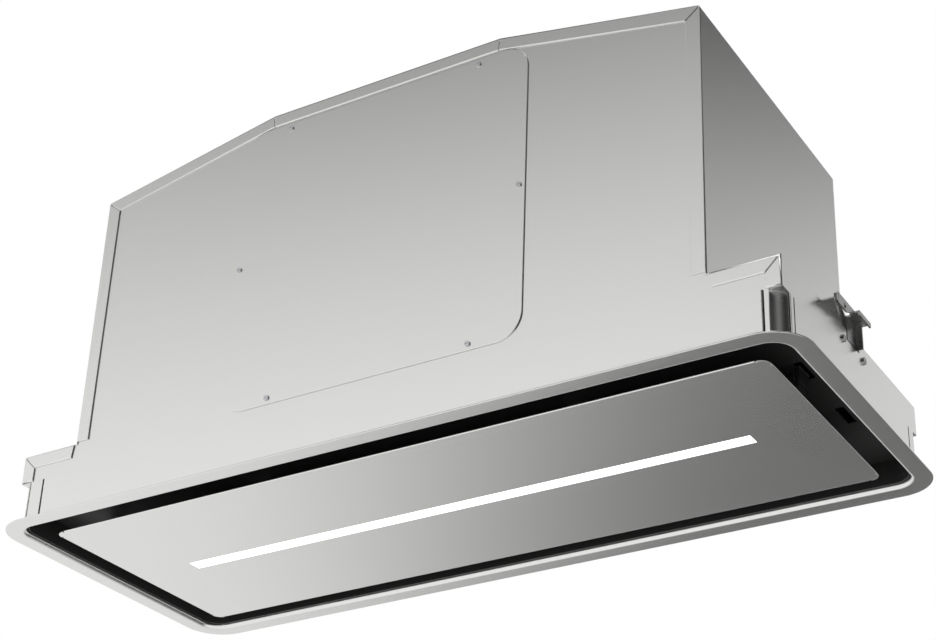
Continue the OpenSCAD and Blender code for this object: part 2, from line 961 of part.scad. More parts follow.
// Upright tongues on the panel's ends
module panel_strikes() {
  color(zinc)
    for (s = [-1, 1])
      mirror([(1 - s) / 2, 0, 0]) {
        slab([panel_l / 2 - hem_w - 12, -strike_y - 9, panel_top],
          [panel_l / 2 - hem_w - 0.3, 9 - strike_y, panel_top + 1]);
        slab([panel_l / 2 - hem_w - 1.3, -strike_y - 7, panel_top],
          [panel_l / 2 - hem_w - 0.3, 7 - strike_y, hem_top + 1.2]);
        slab([panel_l / 2 - hem_w - 1.3, -strike_y - 7, hem_top + 0.2],
          [strike_x + 0.5, 7 - strike_y, hem_top + 1.2]);
        slab([strike_x - 0.5, -strike_y - 7, hem_top + 0.2], [strike_x + 0.5, 7 - strike_y, deck_z - 3]);
      }
}

// Spring catches under the deck
module catch_clips() {
  color(black)
    for (s = [-1, 1])
      mirror([(1 - s) / 2, 0, 0])
        translate([strike_x, -strike_y, 0])
          difference() {
            union() {
              slab([-12, -9, deck_z - 0.8], [3.2, 9, deck_z]);
              for (x = [-2.2, 1.5])
                slab([x, -8, deck_z - 12], [x + 0.7, 8, deck_z - skin]);
              for (x = [-1.5, 1.5])
                translate([x, 0, deck_z - 10])
                  bar_y(0.65, -8, 8);
            }
            translate([-8, 0, deck_z - 2])
              cylinder(r = screw_r, h = 4);
          }
}

// Air space of the scroll in X and Z, grown by g
module scroll_area(g) {
  e = scroll_step / 2;
  tongue = [scroll_r * cos(60) - e, scroll_r * sin(60) - e];
  right = e + scroll_r + 2 * scroll_step + g;
  left = outlet_x - blower_x - outlet_w / 2;
  wall = [left, outlet_z - blower_z] - tongue;
  n = g * [-wall[1], wall[0]] / norm(wall);
  translate([-e, -e])
    intersection() {
      circle(scroll_r + g);
      translate([-scroll_r - 9, 0])
        square([scroll_r + 9 + e + tongue[0], scroll_r + 9]);
    }
  translate([e, -e])
    intersection() {
      circle(scroll_r + scroll_step + g);
      translate([-scroll_r - 30, -scroll_r - 30])
        square(scroll_r + 30);
    }
  translate([e, e])
    intersection() {
      circle(scroll_r + 2 * scroll_step + g);
      translate([0, -scroll_r - 40])
        square(scroll_r + 40);
    }
  polygon([[-e, -e], tongue + n, [left, outlet_z - blower_z] + n, [right, outlet_z - blower_z],
    [right, e], [e, e]]);
}

// Curved strip of the scroll's wall, about c, from angle a0 to a1
module arc_wall(c, r, a0, a1) {
  translate(c)
    intersection() {
      difference() {
        circle(r + scroll_t);
        circle(r);
      }
      polygon([[0, 0], for (a = [a0 : (a1 - a0) / 3 : a1]) 2 * r * [cos(a), sin(a)]]);
    }
}

// Wall of the scroll: three arcs, the tongue and the sides of the outlet
module scroll_shell() {
  e = scroll_step / 2;
  right = e + scroll_r + 2 * scroll_step;
  rise = outlet_z - blower_z;
  nose = (scroll_r + scroll_t / 2) * [cos(60), sin(60)] - [e, e];
  lean = [outlet_x - blower_x - (outlet_w + scroll_t) / 2, rise] - nose;
  n = 0.4 * scroll_t * [-lean[1], lean[0]] / norm(lean);
  color(zinc)
    translate([blower_x, 0, blower_z])
      difference() {
        union() {
          along_y(-scroll_half, scroll_half) {
            arc_wall([-e, -e], scroll_r, 57, 180);
            arc_wall([e, -e], scroll_r + scroll_step, 180, 270);
            arc_wall([e, e], scroll_r + 2 * scroll_step, 270, 360);
            translate([right, e])
              square([scroll_t, rise - e]);
          }
          along_y(-scroll_half, scroll_half)
            polygon([nose - n, nose + n, nose + n + 1.1 * lean, nose - n + 1.1 * lean]);
        }
        slab([-2 * scroll_r, -scroll_w, rise], [2 * scroll_r, scroll_w, rise + 30]);
      }
}

// Side of the scroll with its inlet ring and feet
module scroll_side() {
  along = blower_z - scroll_step / 2 - scroll_r - scroll_step - scroll_t;
  difference() {
    union() {
      translate([blower_x, 0, blower_z])
        along_y(-side_out, -scroll_half)
          difference() {
            scroll_area(scroll_t + 3);
            circle(inlet_r + 6);
          }
      translate([blower_x, 0, 0])
        for (s = [-1, 1])
          slab([s * 75 - 12, -side_out, along - 5], [s * 75 + 12, -scroll_half, along + 40]);
      translate([blower_x, -side_out, blower_z])
        rotate([90, 0, 0])
          rotate_extrude() {
            translate([inlet_r + 4, 0])
              intersection() {
                difference() {
                  circle(4);
                  circle(4 - scroll_t);
                }
                translate([-5, 0])
                  square(5);
              }
            translate([inlet_r + 4, 2.8])
              square([4, scroll_t]);
            translate([inlet_r, -scroll_t - 3])
              square([scroll_t, scroll_t + 3]);
            translate([inlet_r, -scroll_t])
              square([7, scroll_t]);
          }
    }
    slab([-400, -200, outlet_z - skin], [400, 200, outlet_z + 40]);
    slab([-400, -200, 0], [400, 200, along - 2]);
  }
}

module scroll_side_front() {
  color(zinc)
    scroll_side();
}

module scroll_side_rear() {
  color(zinc)
    mirror([0, 1, 0])
      scroll_side();
}

// Section of one forward-curved blade
module blade() {
  depth = blade_d - 1;
  translate([wheel_r - blade_d / 2, 0])
    rotate(-20)
      intersection() {
        translate([0, -0.7 * depth / 2])
          difference() {
            circle(depth * 0.72 + blade_t / 2);
            circle(depth * 0.72 - blade_t / 2);
          }
        translate([-depth / 2, -1])
          square([depth, depth]);
      }
}

// Impeller cage: blades between two rims, with a ring in the middle
module impeller_cage() {
  color(black)
    translate([blower_x, 0, blower_z]) {
      along_y(-wheel_l / 2 + 1, wheel_l / 2 - 1)
        for (i = [0:blade_n - 1])
          rotate(i * 360 / blade_n)
            blade();
      for (y = [-wheel_l / 2, wheel_l / 2 - 3])
        along_y(y, y + 3)
          difference() {
            circle(wheel_r);
            circle(wheel_r - blade_d * 0.55);
          }
      along_y(-1, 1)
        difference() {
          circle(wheel_r - 2);
          circle(wheel_r - blade_d - 6);
        }
    }
}

// Hub with the centre plate that carries the cage on the shaft
module impeller_hub() {
  ring_r = wheel_r - blade_d - 6;
  vent_r = 0.2 * ring_r / 2;
  color(zinc)
    translate([blower_x, 0, blower_z])
      difference() {
        union() {
          bar_y(ring_r + 3, -2.5, -1);
          bar_y(3 * shaft_r + 1, -14, 6);
          bar_y(ring_r - run, -1 - skin, 1);
        }
        bar_y(shaft_r + run / 2, -20, 20);
        for (a = [0:60:300])
          rotate([0, a, 0])
            translate([0.7 * ring_r, 0, 0])
              bar_y(vent_r, -4, 4);
      }
}

// Motor in the rear half of the impeller
module motor_housing() {
  color(zinc)
    translate([blower_x, 0, blower_z])
      difference() {
        union() {
          bar_y(motor_r, 14, 50);
          bar_y(motor_r - 4, 11, 53);
          bar_y(14, 8, arm_y);
          for (a = [0:30:330])
            rotate([0, a, 0])
              slab([motor_r - 2, 18, -1.2], [motor_r + 2.5, 46, 1.2]);
        }
        bar_y(shaft_r + run, 5, arm_y - 6);
      }
}

module motor_shaft() {
  color(steel)
    translate([blower_x, 0, blower_z])
      bar_y(shaft_r, -16, arm_y - 8);
}

// Three-armed bracket behind the motor
module motor_bracket() {
  color(zinc)
    translate([blower_x, 0, blower_z])
      along_y(arm_y, arm_y + 2)
        difference() {
          union() {
            circle(24);
            for (a = [90, 210, 330])
              rotate(a) {
                translate([0, -8])
                  square([inlet_r + 16, 16]);
                translate([inlet_r + 16, 0])
                  circle(9);
              }
          }
          for (a = [90, 210, 330])
            rotate(a) {
              translate([inlet_r + 16, 0])
                circle(3);
              translate([38, 0])
                circle(4.5);
            }
        }
}

module motor_grommets() {
  color(black)
    translate([blower_x, 0, blower_z])
      for (a = [90, 210, 330])
        rotate([0, -a, 0])
          translate([inlet_r + 16, 0, 0])
            difference() {
              bar_y(6.5, side_out, arm_y);
              bar_y(2.6, side_out - 1, arm_y + 1);
            }
}

// Run capacitor on the rear plate
cap_at = [165, plate_y - sheet_t - 17.5, 120];

module capacitor() {
  color(white)
    translate(cap_at) {
      cylinder(r = 15, h = 56);
      translate([0, 0, 56 - skin])
        cylinder(r = 12, h = 2.5);
      for (x = [-5, 5])
        translate([x, 0, 60])
          cube([1, 6, 6], center = true);
    }
}

module capacitor_clip() {
  color(zinc)
    translate(cap_at + [0, 0, 22])
      difference() {
        union() {
          cylinder(r = 16.4, h = 14);
          translate([-24, 16.3, 0])
            cube([48, 1.2, 14]);
        }
        translate([0, 0, -1])
          cylinder(r = 15.1, h = 16);
        translate([-3, -20, -1])
          cube([6, 10, 16]);
      }
}

// Angle rails that carry the blower
module blower_rails() {
  z = blower_z - scroll_step * 1.5 - scroll_r - scroll_t - 2;
  color(zinc)
    for (s = [-1, 1])
      translate([blower_x + s * 75, 0, 0])
        difference() {
          union() {
            slab([-12, sheet_t - plate_y, z - 1.5], [12, plate_y - sheet_t, z]);
            slab([-12, sheet_t - plate_y, z - 16], [-10.5, plate_y - sheet_t, z]);
          }
          for (y = [-45:30:45])
            translate([3, y, z - 3])
              cylinder(r = 3.5, h = 6);
        }
}

// Adapter from the scroll's outlet to the roof
module outlet_adapter() {
  color(grey)
    translate([outlet_x, 0, 0])
      difference() {
        union() {
          translate([0, 0, outlet_z])
            linear_extrude(2)
              rrect(duct_r * 2 + 6, duct_r * 2 + 6, 12);
          translate([0, 0, outlet_z + 1])
            cylinder(r = duct_r + 1, h = roof_in - outlet_z - 1);
          translate([0, 0, roof_in - 2])
            cylinder(r = duct_foot_r, h = 2);
        }
        translate([0, 0, outlet_z + 2])
          cylinder(r = duct_r - 1, h = 60);
        translate([0, 0, outlet_z])
          cube([outlet_w, scroll_w, 10], center = true);
        translate([-outlet_x, 0, 0])
          collar_screw_holes(roof_in - 4, 8);
      }
}

// Duct collar on the roof, with the ledge the damper rests on
module duct_collar() {
  r_in = duct_r - duct_t;
  ledge = top_z + damper_h - 2.4;
  color(black)
    difference() {
      union() {
        translate([0, 0, top_z])
          cylinder(r = duct_foot_r, h = 2);
        translate([0, 0, top_z])
          cylinder(r = duct_r, h = duct_h);
        translate([0, 0, top_z + 2 - skin])
          rotate_extrude()
            polygon([[duct_r - 0.5, 0], [duct_r + 3, 0], [duct_r - 0.5, 4]]);
      }
      translate([0, 0, top_z - 1])
        cylinder(r = r_in - 2.5, h = 60);
      translate([0, 0, ledge])
        cylinder(r = r_in, h = 60);
      translate([0, 0, top_z - 1])
        cylinder(r = r_in, h = ledge - top_z - 0.5);
      translate([0, 0, top_z + damper_h])
        bar_y(damper_pin_r + run / 2, -duct_r - 1, duct_r + 1);
      collar_screw_holes(top_z - 1, 4);
    }
}

// Half flap of the damper, on the side of +X
module damper_flap(knuckles) {
  r = duct_r - duct_t - 0.8;
  z = top_z + damper_h;
  color(grey)
    difference() {
      union() {
        translate([0, 0, z - 2.4])
          linear_extrude(1)
            intersection() {
              circle(r);
              translate([2.8, -duct_r])
                square(2 * duct_r);
            }
        for (y = knuckles) {
          translate([0, 0, z])
            bar_y(2.6, y, y + 17);
          slab([0, y, z - 2.4], [4, y + 17, z - 0.9]);
        }
        for (y = [-30, 0, 30])
          slab([4, y - 0.6, z - 1.5], [58, y + 0.6, z + 0.6]);
      }
      translate([0, 0, z])
        bar_y(damper_pin_r + run, -80, 80);
    }
}

module damper_flap_right() {
  damper_flap([-58, 20]);
}

module damper_flap_left() {
  rotate([0, 0, 180])
    damper_flap([-55.5, 22.5]);
}

module damper_pin() {
  color(steel)
    translate([0, 0, top_z + damper_h])
      bar_y(damper_pin_r, -duct_r, duct_r);
}

module collar_screws() {
  color(zinc)
    for (a = [45:90:315])
      rotate([0, 0, a])
        translate([duct_foot_r - 5.5, 0, top_z + 2]) {
          difference() {
            cylinder(r = 3.4, h = 2);
            translate([-4, -0.4, 1])
              cube([8, 0.8, 3]);
          }
          translate([0, 0, -6])
            cylinder(r = screw_r, h = 6 + skin);
        }
}

// Control box on the right wall of the upper box
module control_box() {
  x0 = wall_x - box_d;
  color(zinc)
    difference() {
      slab([x0, -box_w / 2, box_z - box_h / 2], [wall_x, box_w / 2, box_z + box_h / 2]);
      slab([x0 - 1, 1.2 - box_w / 2, box_z - box_h / 2 + 1.2],
        [wall_x - 1.2, box_w / 2 - 1.2, box_z + box_h / 2 - 1.2]);
      for (y = [-40, 0, 40])
        translate([x0 + 20, y, box_z - box_h / 2 - 1])
          cylinder(r = 7, h = 4);
    }
}

module control_box_lid() {
  x0 = wall_x - box_d;
  color(zinc)
    difference() {
      slab([x0 - 1.2, -box_w / 2 - 1.5, box_z - box_h / 2 - 1.5],
        [x0 + 8, box_w / 2 + 1.5, box_z + box_h / 2 + 1.5]);
      slab([x0, -box_w / 2 - 0.3, box_z - box_h / 2 - 0.3], [x0 + 9, box_w / 2 + 0.3, box_z + box_h / 2 + 0.3]);
      for (z = [-30:10:30])
        translate([x0 - 2, -20, box_z + z - 1.5])
          cube([4, 40, 3]);
    }
}

// Control board with its larger components
module control_board() {
  x = wall_x - 9;
  color(green) {
    slab([x - 1.6, -60, box_z - 48], [x, 60, box_z + 48]);
    slab([x - 20, -50, box_z + 5], [x - 1.6 + skin, -22, box_z + 35]);
    slab([x - 17, -10, box_z - 40], [x - 1.6 + skin, 8, box_z - 20]);
    slab([x - 17, 16, box_z - 40], [x - 1.6 + skin, 34, box_z - 20]);
    slab([x - 12, -55, box_z - 46], [x - 1.6 + skin, -25, box_z - 36]);
    for (y = [-50, 50])
      for (z = [-44, 44])
        translate([x - skin, y, box_z + z])
          bar_x(2.5, 0, wall_x - 1.2 - x + skin);
    for (y = [25, 42])
      translate([x - 22, y, box_z + 22])
        bar_x(7, 0, 22);
  }
}

// Light driver under the control box
module led_driver() {
  z1 = box_z - box_h / 2 - 8;
  color(black)
    difference() {
      union() {
        slab([wall_x - 23, -50, z1 - 30], [wall_x, 50, z1]);
        slab([wall_x - 3, -62, z1 - 26], [wall_x, 62, z1 - 4]);
      }
      for (s = [-1, 1])
        translate([wall_x, s * 56, z1 - 15])
          bar_x(2.2, -5, 5);
    }
}

// Grommet of the lead entry in the rear plate
module lead_grommet() {
  r = gland_r + 4.9;
  color(black)
    translate([gland_x, plate_y - sheet_t, gland_z])
      difference() {
        union() {
          bar_y(r + 2.5, -2, 0);
          bar_y(r, -skin, sheet_t + skin);
          bar_y(r + 2.5, sheet_t, sheet_t + 2);
        }
        bar_y(gland_r, -4, 6);
      }
}

// Fixed bracket of the right clamp: inner plate, two ears, foot, wing and strip
module clamp_bracket() {
  wall_in = lower_x - sheet_t;
  ear_x = lower_x - 13;
  tip_x = lower_x + cheek_x;
  wing_x = lower_x - 2;
  y0 = ear_y;
  color(zinc)
    difference() {
      union() {
        slab([wall_in - 1.5, -27, clamp_screw_z - 8], [wall_in, 27, window_z - 0.5]);
        for (y = [y0, -y0 - ear_t - 0.6])
          slab([ear_x, y, clamp_screw_z - 4], [wall_in, y + ear_t, shoulder_z0 - 0.3]);
        along_y(y0, y0 + ear_t)
          polygon([[wall_in - 4, window_z + 0.6], [lower_x - 0.4, window_z + 0.6],
            [lower_x - 0.4, side_z], [lower_x - 3.4, side_z], [lower_x - 5, shoulder_z - 2]]);
        translate([0, 0, shoulder_z])
          linear_extrude(1.2)
            polygon([[lower_x - 16, y0 - 45], [wing_x + 45 * tan(wing_a), y0 - 45],
              [wing_x + 10 * tan(wing_a), y0 - 10], [lower_x - 16, y0 - 10]]);
        translate([wing_x, y0 + 0.2, 0])
          rotate([0, 0, wing_a])
            union() {
              along_x(-1.3, 0)
                polygon([[0.8, shoulder_z + 0.2], [0.8, side_z - 2], [-34, side_z - 2],
                  [-34, side_z - 4.5], [-46, shoulder_z + 1.2], [-46, shoulder_z + 0.2]]);
              slab([-1.3, -34.5, side_z - 4.5], [2.1, 0.8, side_z - 0.5]);
            }
        along_x(tip_x - 1.3, tip_x)
          polygon([[y0 - 33.5, side_z], [y0 - 3, side_z], [y0 - 3, side_z - 2], [y0 - 17, side_z - 8.5],
            [y0 - 33.5, side_z - 8.5]]);
      }
      for (y = [-clamp_screw_y, clamp_screw_y])
        translate([0, y, clamp_screw_z])
          bar_x(screw_r + run, wall_in - 3, wall_in + 1);
      translate([pivot_x, 0, pivot_z])
        bar_y(pivot_r + run / 2, -20, 20);
      translate([0, y0 - 21.5, side_z - 5.5])
        bar_x(2.1, lower_x, tip_x + 4);
    }
}

// Swinging catch of the right clamp: barrel, face, two cheeks and the hook
module clamp_catch() {
  y0 = ear_y + ear_t + 0.5;
  y1 = -ear_y - ear_t - 1.2;
  low = window_z + 0.7;
  face_x = lower_x - 1.4;
  rib_x = lower_x + 4.7;
  over_x = lower_x + 3.5;
  top = hook_z + 1.5;
  color(grey)
    difference() {
      union() {
        translate([pivot_x, 0, pivot_z])
          bar_y(2.6, y0, y1);
        for (y = [y0, y1 - 1.4])
          along_y(y, y + 1.4)
            polygon([[pivot_x - 2, pivot_z + 1.6], [pivot_x - 1, low], [lower_x, low],
              [lower_x, hook_z + skin], [face_x, hook_z + skin], [face_x, shoulder_z - 1],
              [pivot_x + 2, pivot_z + 4]]);
        slab([lower_x - 0.7, y1 - 1.4, low], [rib_x, y1, hook_z + skin]);
        slab([face_x, y0, low], [lower_x, y1, hook_z + skin]);
        slab([face_x, y0, hook_z], [over_x + 1, y1, top]);
        slab([over_x, y1 - hook_w - 1, hook_z], [lower_x + hook_x, y1, top]);
        slab([lower_x + hook_x - 1.4, y1 - hook_w - 1, hook_z - 2.2], [lower_x + hook_x, y1, top]);
      }
      translate([pivot_x, 0, pivot_z])
        bar_y(pivot_r + run, -20, 20);
    }
}

module clamp_bracket_right() {
  clamp_bracket();
}

module clamp_bracket_left() {
  mirror([1, 0, 0])
    clamp_bracket();
}

module clamp_catch_right() {
  clamp_catch();
}

module clamp_catch_left() {
  mirror([1, 0, 0])
    clamp_catch();
}

module clamp_pins() {
  color(steel)
    both_x(pivot_x)
      translate([0, 0, pivot_z]) {
        bar_y(pivot_r, ear_y - 0.8, -ear_y + 0.4);
        bar_y(pivot_r + 1, ear_y - 1.6, ear_y);
      }
}

module clamp_screws() {
  color(grey)
    for (s = [-1, 1])
      for (y = [-clamp_screw_y, clamp_screw_y])
        mirror([(1 - s) / 2, 0, 0])
          translate([lower_x, y, clamp_screw_z])
            difference() {
              union() {
                bar_x(2.9, 0, 1.6);
                bar_x(screw_r, -5, skin);
              }
              translate([1.2, 0, 0])
                cube([1.2, 0.8, 4], center = true);
            }
}

flange_frame();
front_plate();
rear_plate();
top_wrapper();
end_wrapper_left();
end_wrapper_right();
access_cover();
cover_screws();
inner_liner();
liner_rivets();
filter_frame_left();
filter_frame_right();
filter_mesh_left();
filter_mesh_right();
filter_latch_left();
filter_latch_right();
perimeter_panel();
panel_stiffeners();
led_channel();
led_board();
led_diffuser();
led_end_caps();
hinge_leaves();
hinge_brackets();
hinge_pins();
panel_strikes();
catch_clips();
scroll_shell();
scroll_side_front();
scroll_side_rear();
impeller_cage();
impeller_hub();
motor_housing();
motor_shaft();
motor_bracket();
motor_grommets();
capacitor();
capacitor_clip();
blower_rails();
outlet_adapter();
duct_collar();
damper_flap_left();
damper_flap_right();
damper_pin();
collar_screws();
control_box();
control_box_lid();
control_board();
led_driver();
lead_grommet();
clamp_bracket_left();
clamp_bracket_right();
clamp_catch_left();
clamp_catch_right();
clamp_pins();
clamp_screws();
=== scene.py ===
"""Finishes, fine pieces, studio and camera for a built-in range hood insert.

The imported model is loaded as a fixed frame. Every class below stands for one sub-assembly of the
hood: it holds its own sizes, makes its fine pieces as numpy surfaces and dresses its nodes.
All sizes are metres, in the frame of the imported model.
"""

from __future__ import annotations

import logging
import math
from dataclasses import dataclass, field
from enum import Enum
from typing import Any, Iterable, Union

import bmesh
import bpy
import numpy as np
from mathutils import Matrix, Vector


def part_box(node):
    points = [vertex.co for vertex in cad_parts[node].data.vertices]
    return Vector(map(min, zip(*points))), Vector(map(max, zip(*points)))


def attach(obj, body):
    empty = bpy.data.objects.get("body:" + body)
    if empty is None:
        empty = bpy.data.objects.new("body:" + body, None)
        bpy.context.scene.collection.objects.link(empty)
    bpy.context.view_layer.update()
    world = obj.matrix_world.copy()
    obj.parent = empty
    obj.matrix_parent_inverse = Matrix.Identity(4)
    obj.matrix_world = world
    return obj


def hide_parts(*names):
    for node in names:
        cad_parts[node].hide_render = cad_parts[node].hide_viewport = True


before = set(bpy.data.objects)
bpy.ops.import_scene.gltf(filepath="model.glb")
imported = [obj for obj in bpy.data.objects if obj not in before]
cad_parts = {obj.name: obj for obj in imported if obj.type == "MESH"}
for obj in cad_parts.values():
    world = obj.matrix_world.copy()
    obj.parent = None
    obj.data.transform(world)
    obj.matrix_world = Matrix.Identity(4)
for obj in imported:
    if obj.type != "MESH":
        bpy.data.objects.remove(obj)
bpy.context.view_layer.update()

LOG = logging.getLogger("hood")
MM = 0.001
BEVEL_SAMPLES = 6

Colour = tuple[float, float, float]
Place = tuple[float, float, float]
Number = Union[float, int, "Wire"]


class Axis(Enum):
    """Direction of a sheet's grain."""

    X = 0
    Y = 1
    Z = 2


class Wire:
    """One output of a shader node that takes part in sums written in Python."""

    def __init__(self, graph: "Graph", socket: bpy.types.NodeSocket) -> None:
        """Wraps a socket.

        Args:
            graph: The graph that new Math nodes are added to.
            socket: The output socket.
        """
        self.graph = graph
        self.socket = socket

    def _math(self, operation: str, first: Number, second: Number = 0.0) -> "Wire":
        """Adds one Math node.

        Args:
            operation: The node's operation.
            first: Its first value.
            second: Its second value.

        Returns:
            The node's result.
        """
        node = self.graph.node("ShaderNodeMath", {"operation": operation}, {0: first, 1: second})
        return Wire(self.graph, node.outputs[0])

    def __add__(self, other: Number) -> "Wire":
        """Sum."""
        return self._math("ADD", self, other)

    __radd__ = __add__

    def __mul__(self, other: Number) -> "Wire":
        """Product."""
        return self._math("MULTIPLY", self, other)

    __rmul__ = __mul__

    def __sub__(self, other: Number) -> "Wire":
        """Difference."""
        return self._math("SUBTRACT", self, other)

    def __rsub__(self, other: Number) -> "Wire":
        """Difference, with the value on the left."""
        return self._math("SUBTRACT", other, self)

    def __truediv__(self, other: Number) -> "Wire":
        """Quotient."""
        return self._math("DIVIDE", self, other)

    def __rtruediv__(self, other: Number) -> "Wire":
        """Quotient, with the value on the left."""
        return self._math("DIVIDE", other, self)

    def __pow__(self, other: Number) -> "Wire":
        """Power."""
        return self._math("POWER", self, other)

    def __rpow__(self, other: Number) -> "Wire":
        """Power, with the value as the exponent."""
        return self._math("POWER", other, self)

    def sine(self) -> "Wire":
        """Sine of the value in radians."""
        return self._math("SINE", self)

    def held(self, low: float, high: float) -> "Wire":
        """The value kept between two limits."""
        return self._math("MAXIMUM", self._math("MINIMUM", self, high), low)

    def step(self, start: float, end: float) -> "Wire":
        """A smooth step from 0 at start to 1 at end.

        Args:
            start: Value at which the step leaves 0.
            end: Value at which it reaches 1.

        Returns:
            The step.
        """
        node = self.graph.node(
            "ShaderNodeMapRange",
            {"interpolation_type": "SMOOTHSTEP"},
            {"Value": self, "From Min": start, "From Max": end},
        )
        return Wire(self.graph, node.outputs["Result"])


class Graph:
    """A node tree with short ways to add nodes to it."""

    def __init__(self, tree: bpy.types.NodeTree) -> None:
        """Empties a tree.

        Args:
            tree: The node tree of a material or a world.
        """
        self.tree = tree
        tree.nodes.clear()
        self._place: bpy.types.Node | None = None

    def node(
        self,
        kind: str,
        settings: dict[str, Any] | None = None,
        inputs: dict[str | int, Any] | None = None,
    ) -> bpy.types.Node:
        """Adds any node.

        Args:
            kind: The node's type.
            settings: Attributes that are set first.
            inputs: Values or wires of its sockets, by name or by number.

        Returns:
            The node.
        """
        node = self.tree.nodes.new(kind)
        for name, value in (settings or {}).items():
            setattr(node, name, value)
        for name, value in (inputs or {}).items():
            self.feed(node.inputs[name], value)
        return node

    def feed(self, socket: bpy.types.NodeSocket, value: Any) -> None:
        """Gives a socket a value or a link.

        Args:
            socket: The input socket.
            value: A wire, an output socket, or a plain value.
        """
        if isinstance(value, Wire):
            value = value.socket
        if isinstance(value, bpy.types.NodeSocket):
            self.tree.links.new(value, socket)
        else:
            if socket.type == "RGBA" and len(value) == 3:
                value = (*value, 1.0)
            socket.default_value = value

    def place(self) -> bpy.types.NodeSocket:
        """The place on the piece, in metres of the shared frame."""
        if self._place is None:
            self._place = self.node("ShaderNodeTexCoord")
        return self._place.outputs["Object"]

    def axes(self) -> tuple[Wire, Wire, Wire]:
        """X, Y and Z of the place as three wires."""
        node = self.node("ShaderNodeSeparateXYZ", inputs={0: self.place()})
        return tuple(Wire(self, out) for out in node.outputs)

    def scaled(self, scale: Iterable[float]) -> bpy.types.NodeSocket:
        """The place with each axis multiplied by its own scale."""
        node = self.node(
            "ShaderNodeMapping", {"vector_type": "POINT"}, {"Vector": self.place(), "Scale": scale}
        )
        return node.outputs[0]

    def noise(self, scale: Iterable[float], detail: float = 2.0, rough: float = 0.5) -> Wire:
        """Noise from 0 to 1 on the scaled place.

        Args:
            scale: Waves per metre along X, Y and Z.
            detail: Number of finer layers.
            rough: Weight of the finer layers.

        Returns:
            The noise value.
        """
        node = self.node(
            "ShaderNodeTexNoise",
            inputs={"Vector": self.scaled(scale), "Scale": 1.0, "Detail": detail, "Roughness": rough},
        )
        return Wire(self, node.outputs["Fac"])

    def swing(self, waves: float, detail: float = 2.0) -> Wire:
        """Noise from -0.5 to 0.5 with the same number of waves per metre on all axes.

        Args:
            waves: Waves per metre.
            detail: Number of finer layers.

        Returns:
            The noise value.
        """
        return self.noise((waves, waves, waves), detail) - 0.5

    def cells(self, scale: float, output: str = "Color") -> bpy.types.NodeSocket:
        """Voronoi cells on the place.

        Args:
            scale: Cells per metre.
            output: The node's output to use.

        Returns:
            The output socket.
        """
        node = self.node("ShaderNodeTexVoronoi", inputs={"Vector": self.place(), "Scale": scale})
        return node.outputs[output]

    def crystals(self, scale: float) -> Wire:
        """A value from -0.5 to 0.5 for each Voronoi cell.

        Args:
            scale: Cells per metre.

        Returns:
            The value, even within a cell.
        """
        split = self.node("ShaderNodeSeparateColor", inputs={0: self.cells(scale)})
        return Wire(self, split.outputs[0]) - 0.5

    def mix(self, factor: Number, first: Any, second: Any) -> bpy.types.NodeSocket:
        """A colour between two colours.

        Args:
            factor: 0 for the first colour, 1 for the second.
            first: A colour or a link.
            second: A colour or a link.

        Returns:
            The mixed colour.
        """
        node = self.node("ShaderNodeMix", {"data_type": "RGBA"})
        self.feed(node.inputs["Factor"], factor)
        self.feed(node.inputs[6], first)
        self.feed(node.inputs[7], second)
        return node.outputs[2]

    def shade(self, colour: Colour, change: Wire) -> bpy.types.NodeSocket:
        """A colour made darker and lighter by a wire that runs about 0.

        Args:
            colour: The middle colour.
            change: -1 for half as bright, 1 for half as bright again.

        Returns:
            The colour.
        """
        dark = tuple(0.5 * c for c in colour)
        light = tuple(1.5 * c for c in colour)
        return self.mix((change * 0.5 + 0.5).held(0.0, 1.0), dark, light)

    def bump(self, height: Wire, depth: float, round_edge: float = 0.0) -> bpy.types.NodeSocket:
        """A normal tilted by a height map.

        Args:
            height: Height from 0 to 1.
            depth: Real height of 1, in metres.
            round_edge: Radius within which the shading runs round a sharp edge, in metres.

        Returns:
            The normal.
        """
        node = self.node("ShaderNodeBump", inputs={"Height": height, "Distance": depth})
        if round_edge:
            edge = self.node("ShaderNodeBevel", {"samples": BEVEL_SAMPLES}, {"Radius": round_edge})
            self.feed(node.inputs["Normal"], edge.outputs["Normal"])
        return node.outputs["Normal"]


@dataclass(frozen=True)
class Finish:
    """A finish: its plain values, and the pattern that a subclass paints on them."""

    name: str
    colour: Colour
    roughness: float
    metallic: float = 0.0

    def material(self) -> bpy.types.Material:
        """The material of this finish, made once.

        Returns:
            The material.
        """
        found = bpy.data.materials.get(self.name)
        if found is not None:
            return found
        made = bpy.data.materials.new(self.name)
        made.use_nodes = True
        graph = Graph(made.node_tree)
        shader = graph.node(
            "ShaderNodeBsdfPrincipled",
            inputs={"Base Color": self.colour, "Roughness": self.roughness, "Metallic": self.metallic},
        )
        self.paint(graph, shader)
        graph.node("ShaderNodeOutputMaterial", inputs={"Surface": shader.outputs[0]})
        made.diffuse_color = (*self.colour, 1.0)
        return made

    def paint(self, graph: Graph, shader: bpy.types.Node) -> None:
        """Adds the pattern.

        Args:
            graph: The material's graph.
            shader: Its Principled node.
        """
        raise NotImplementedError


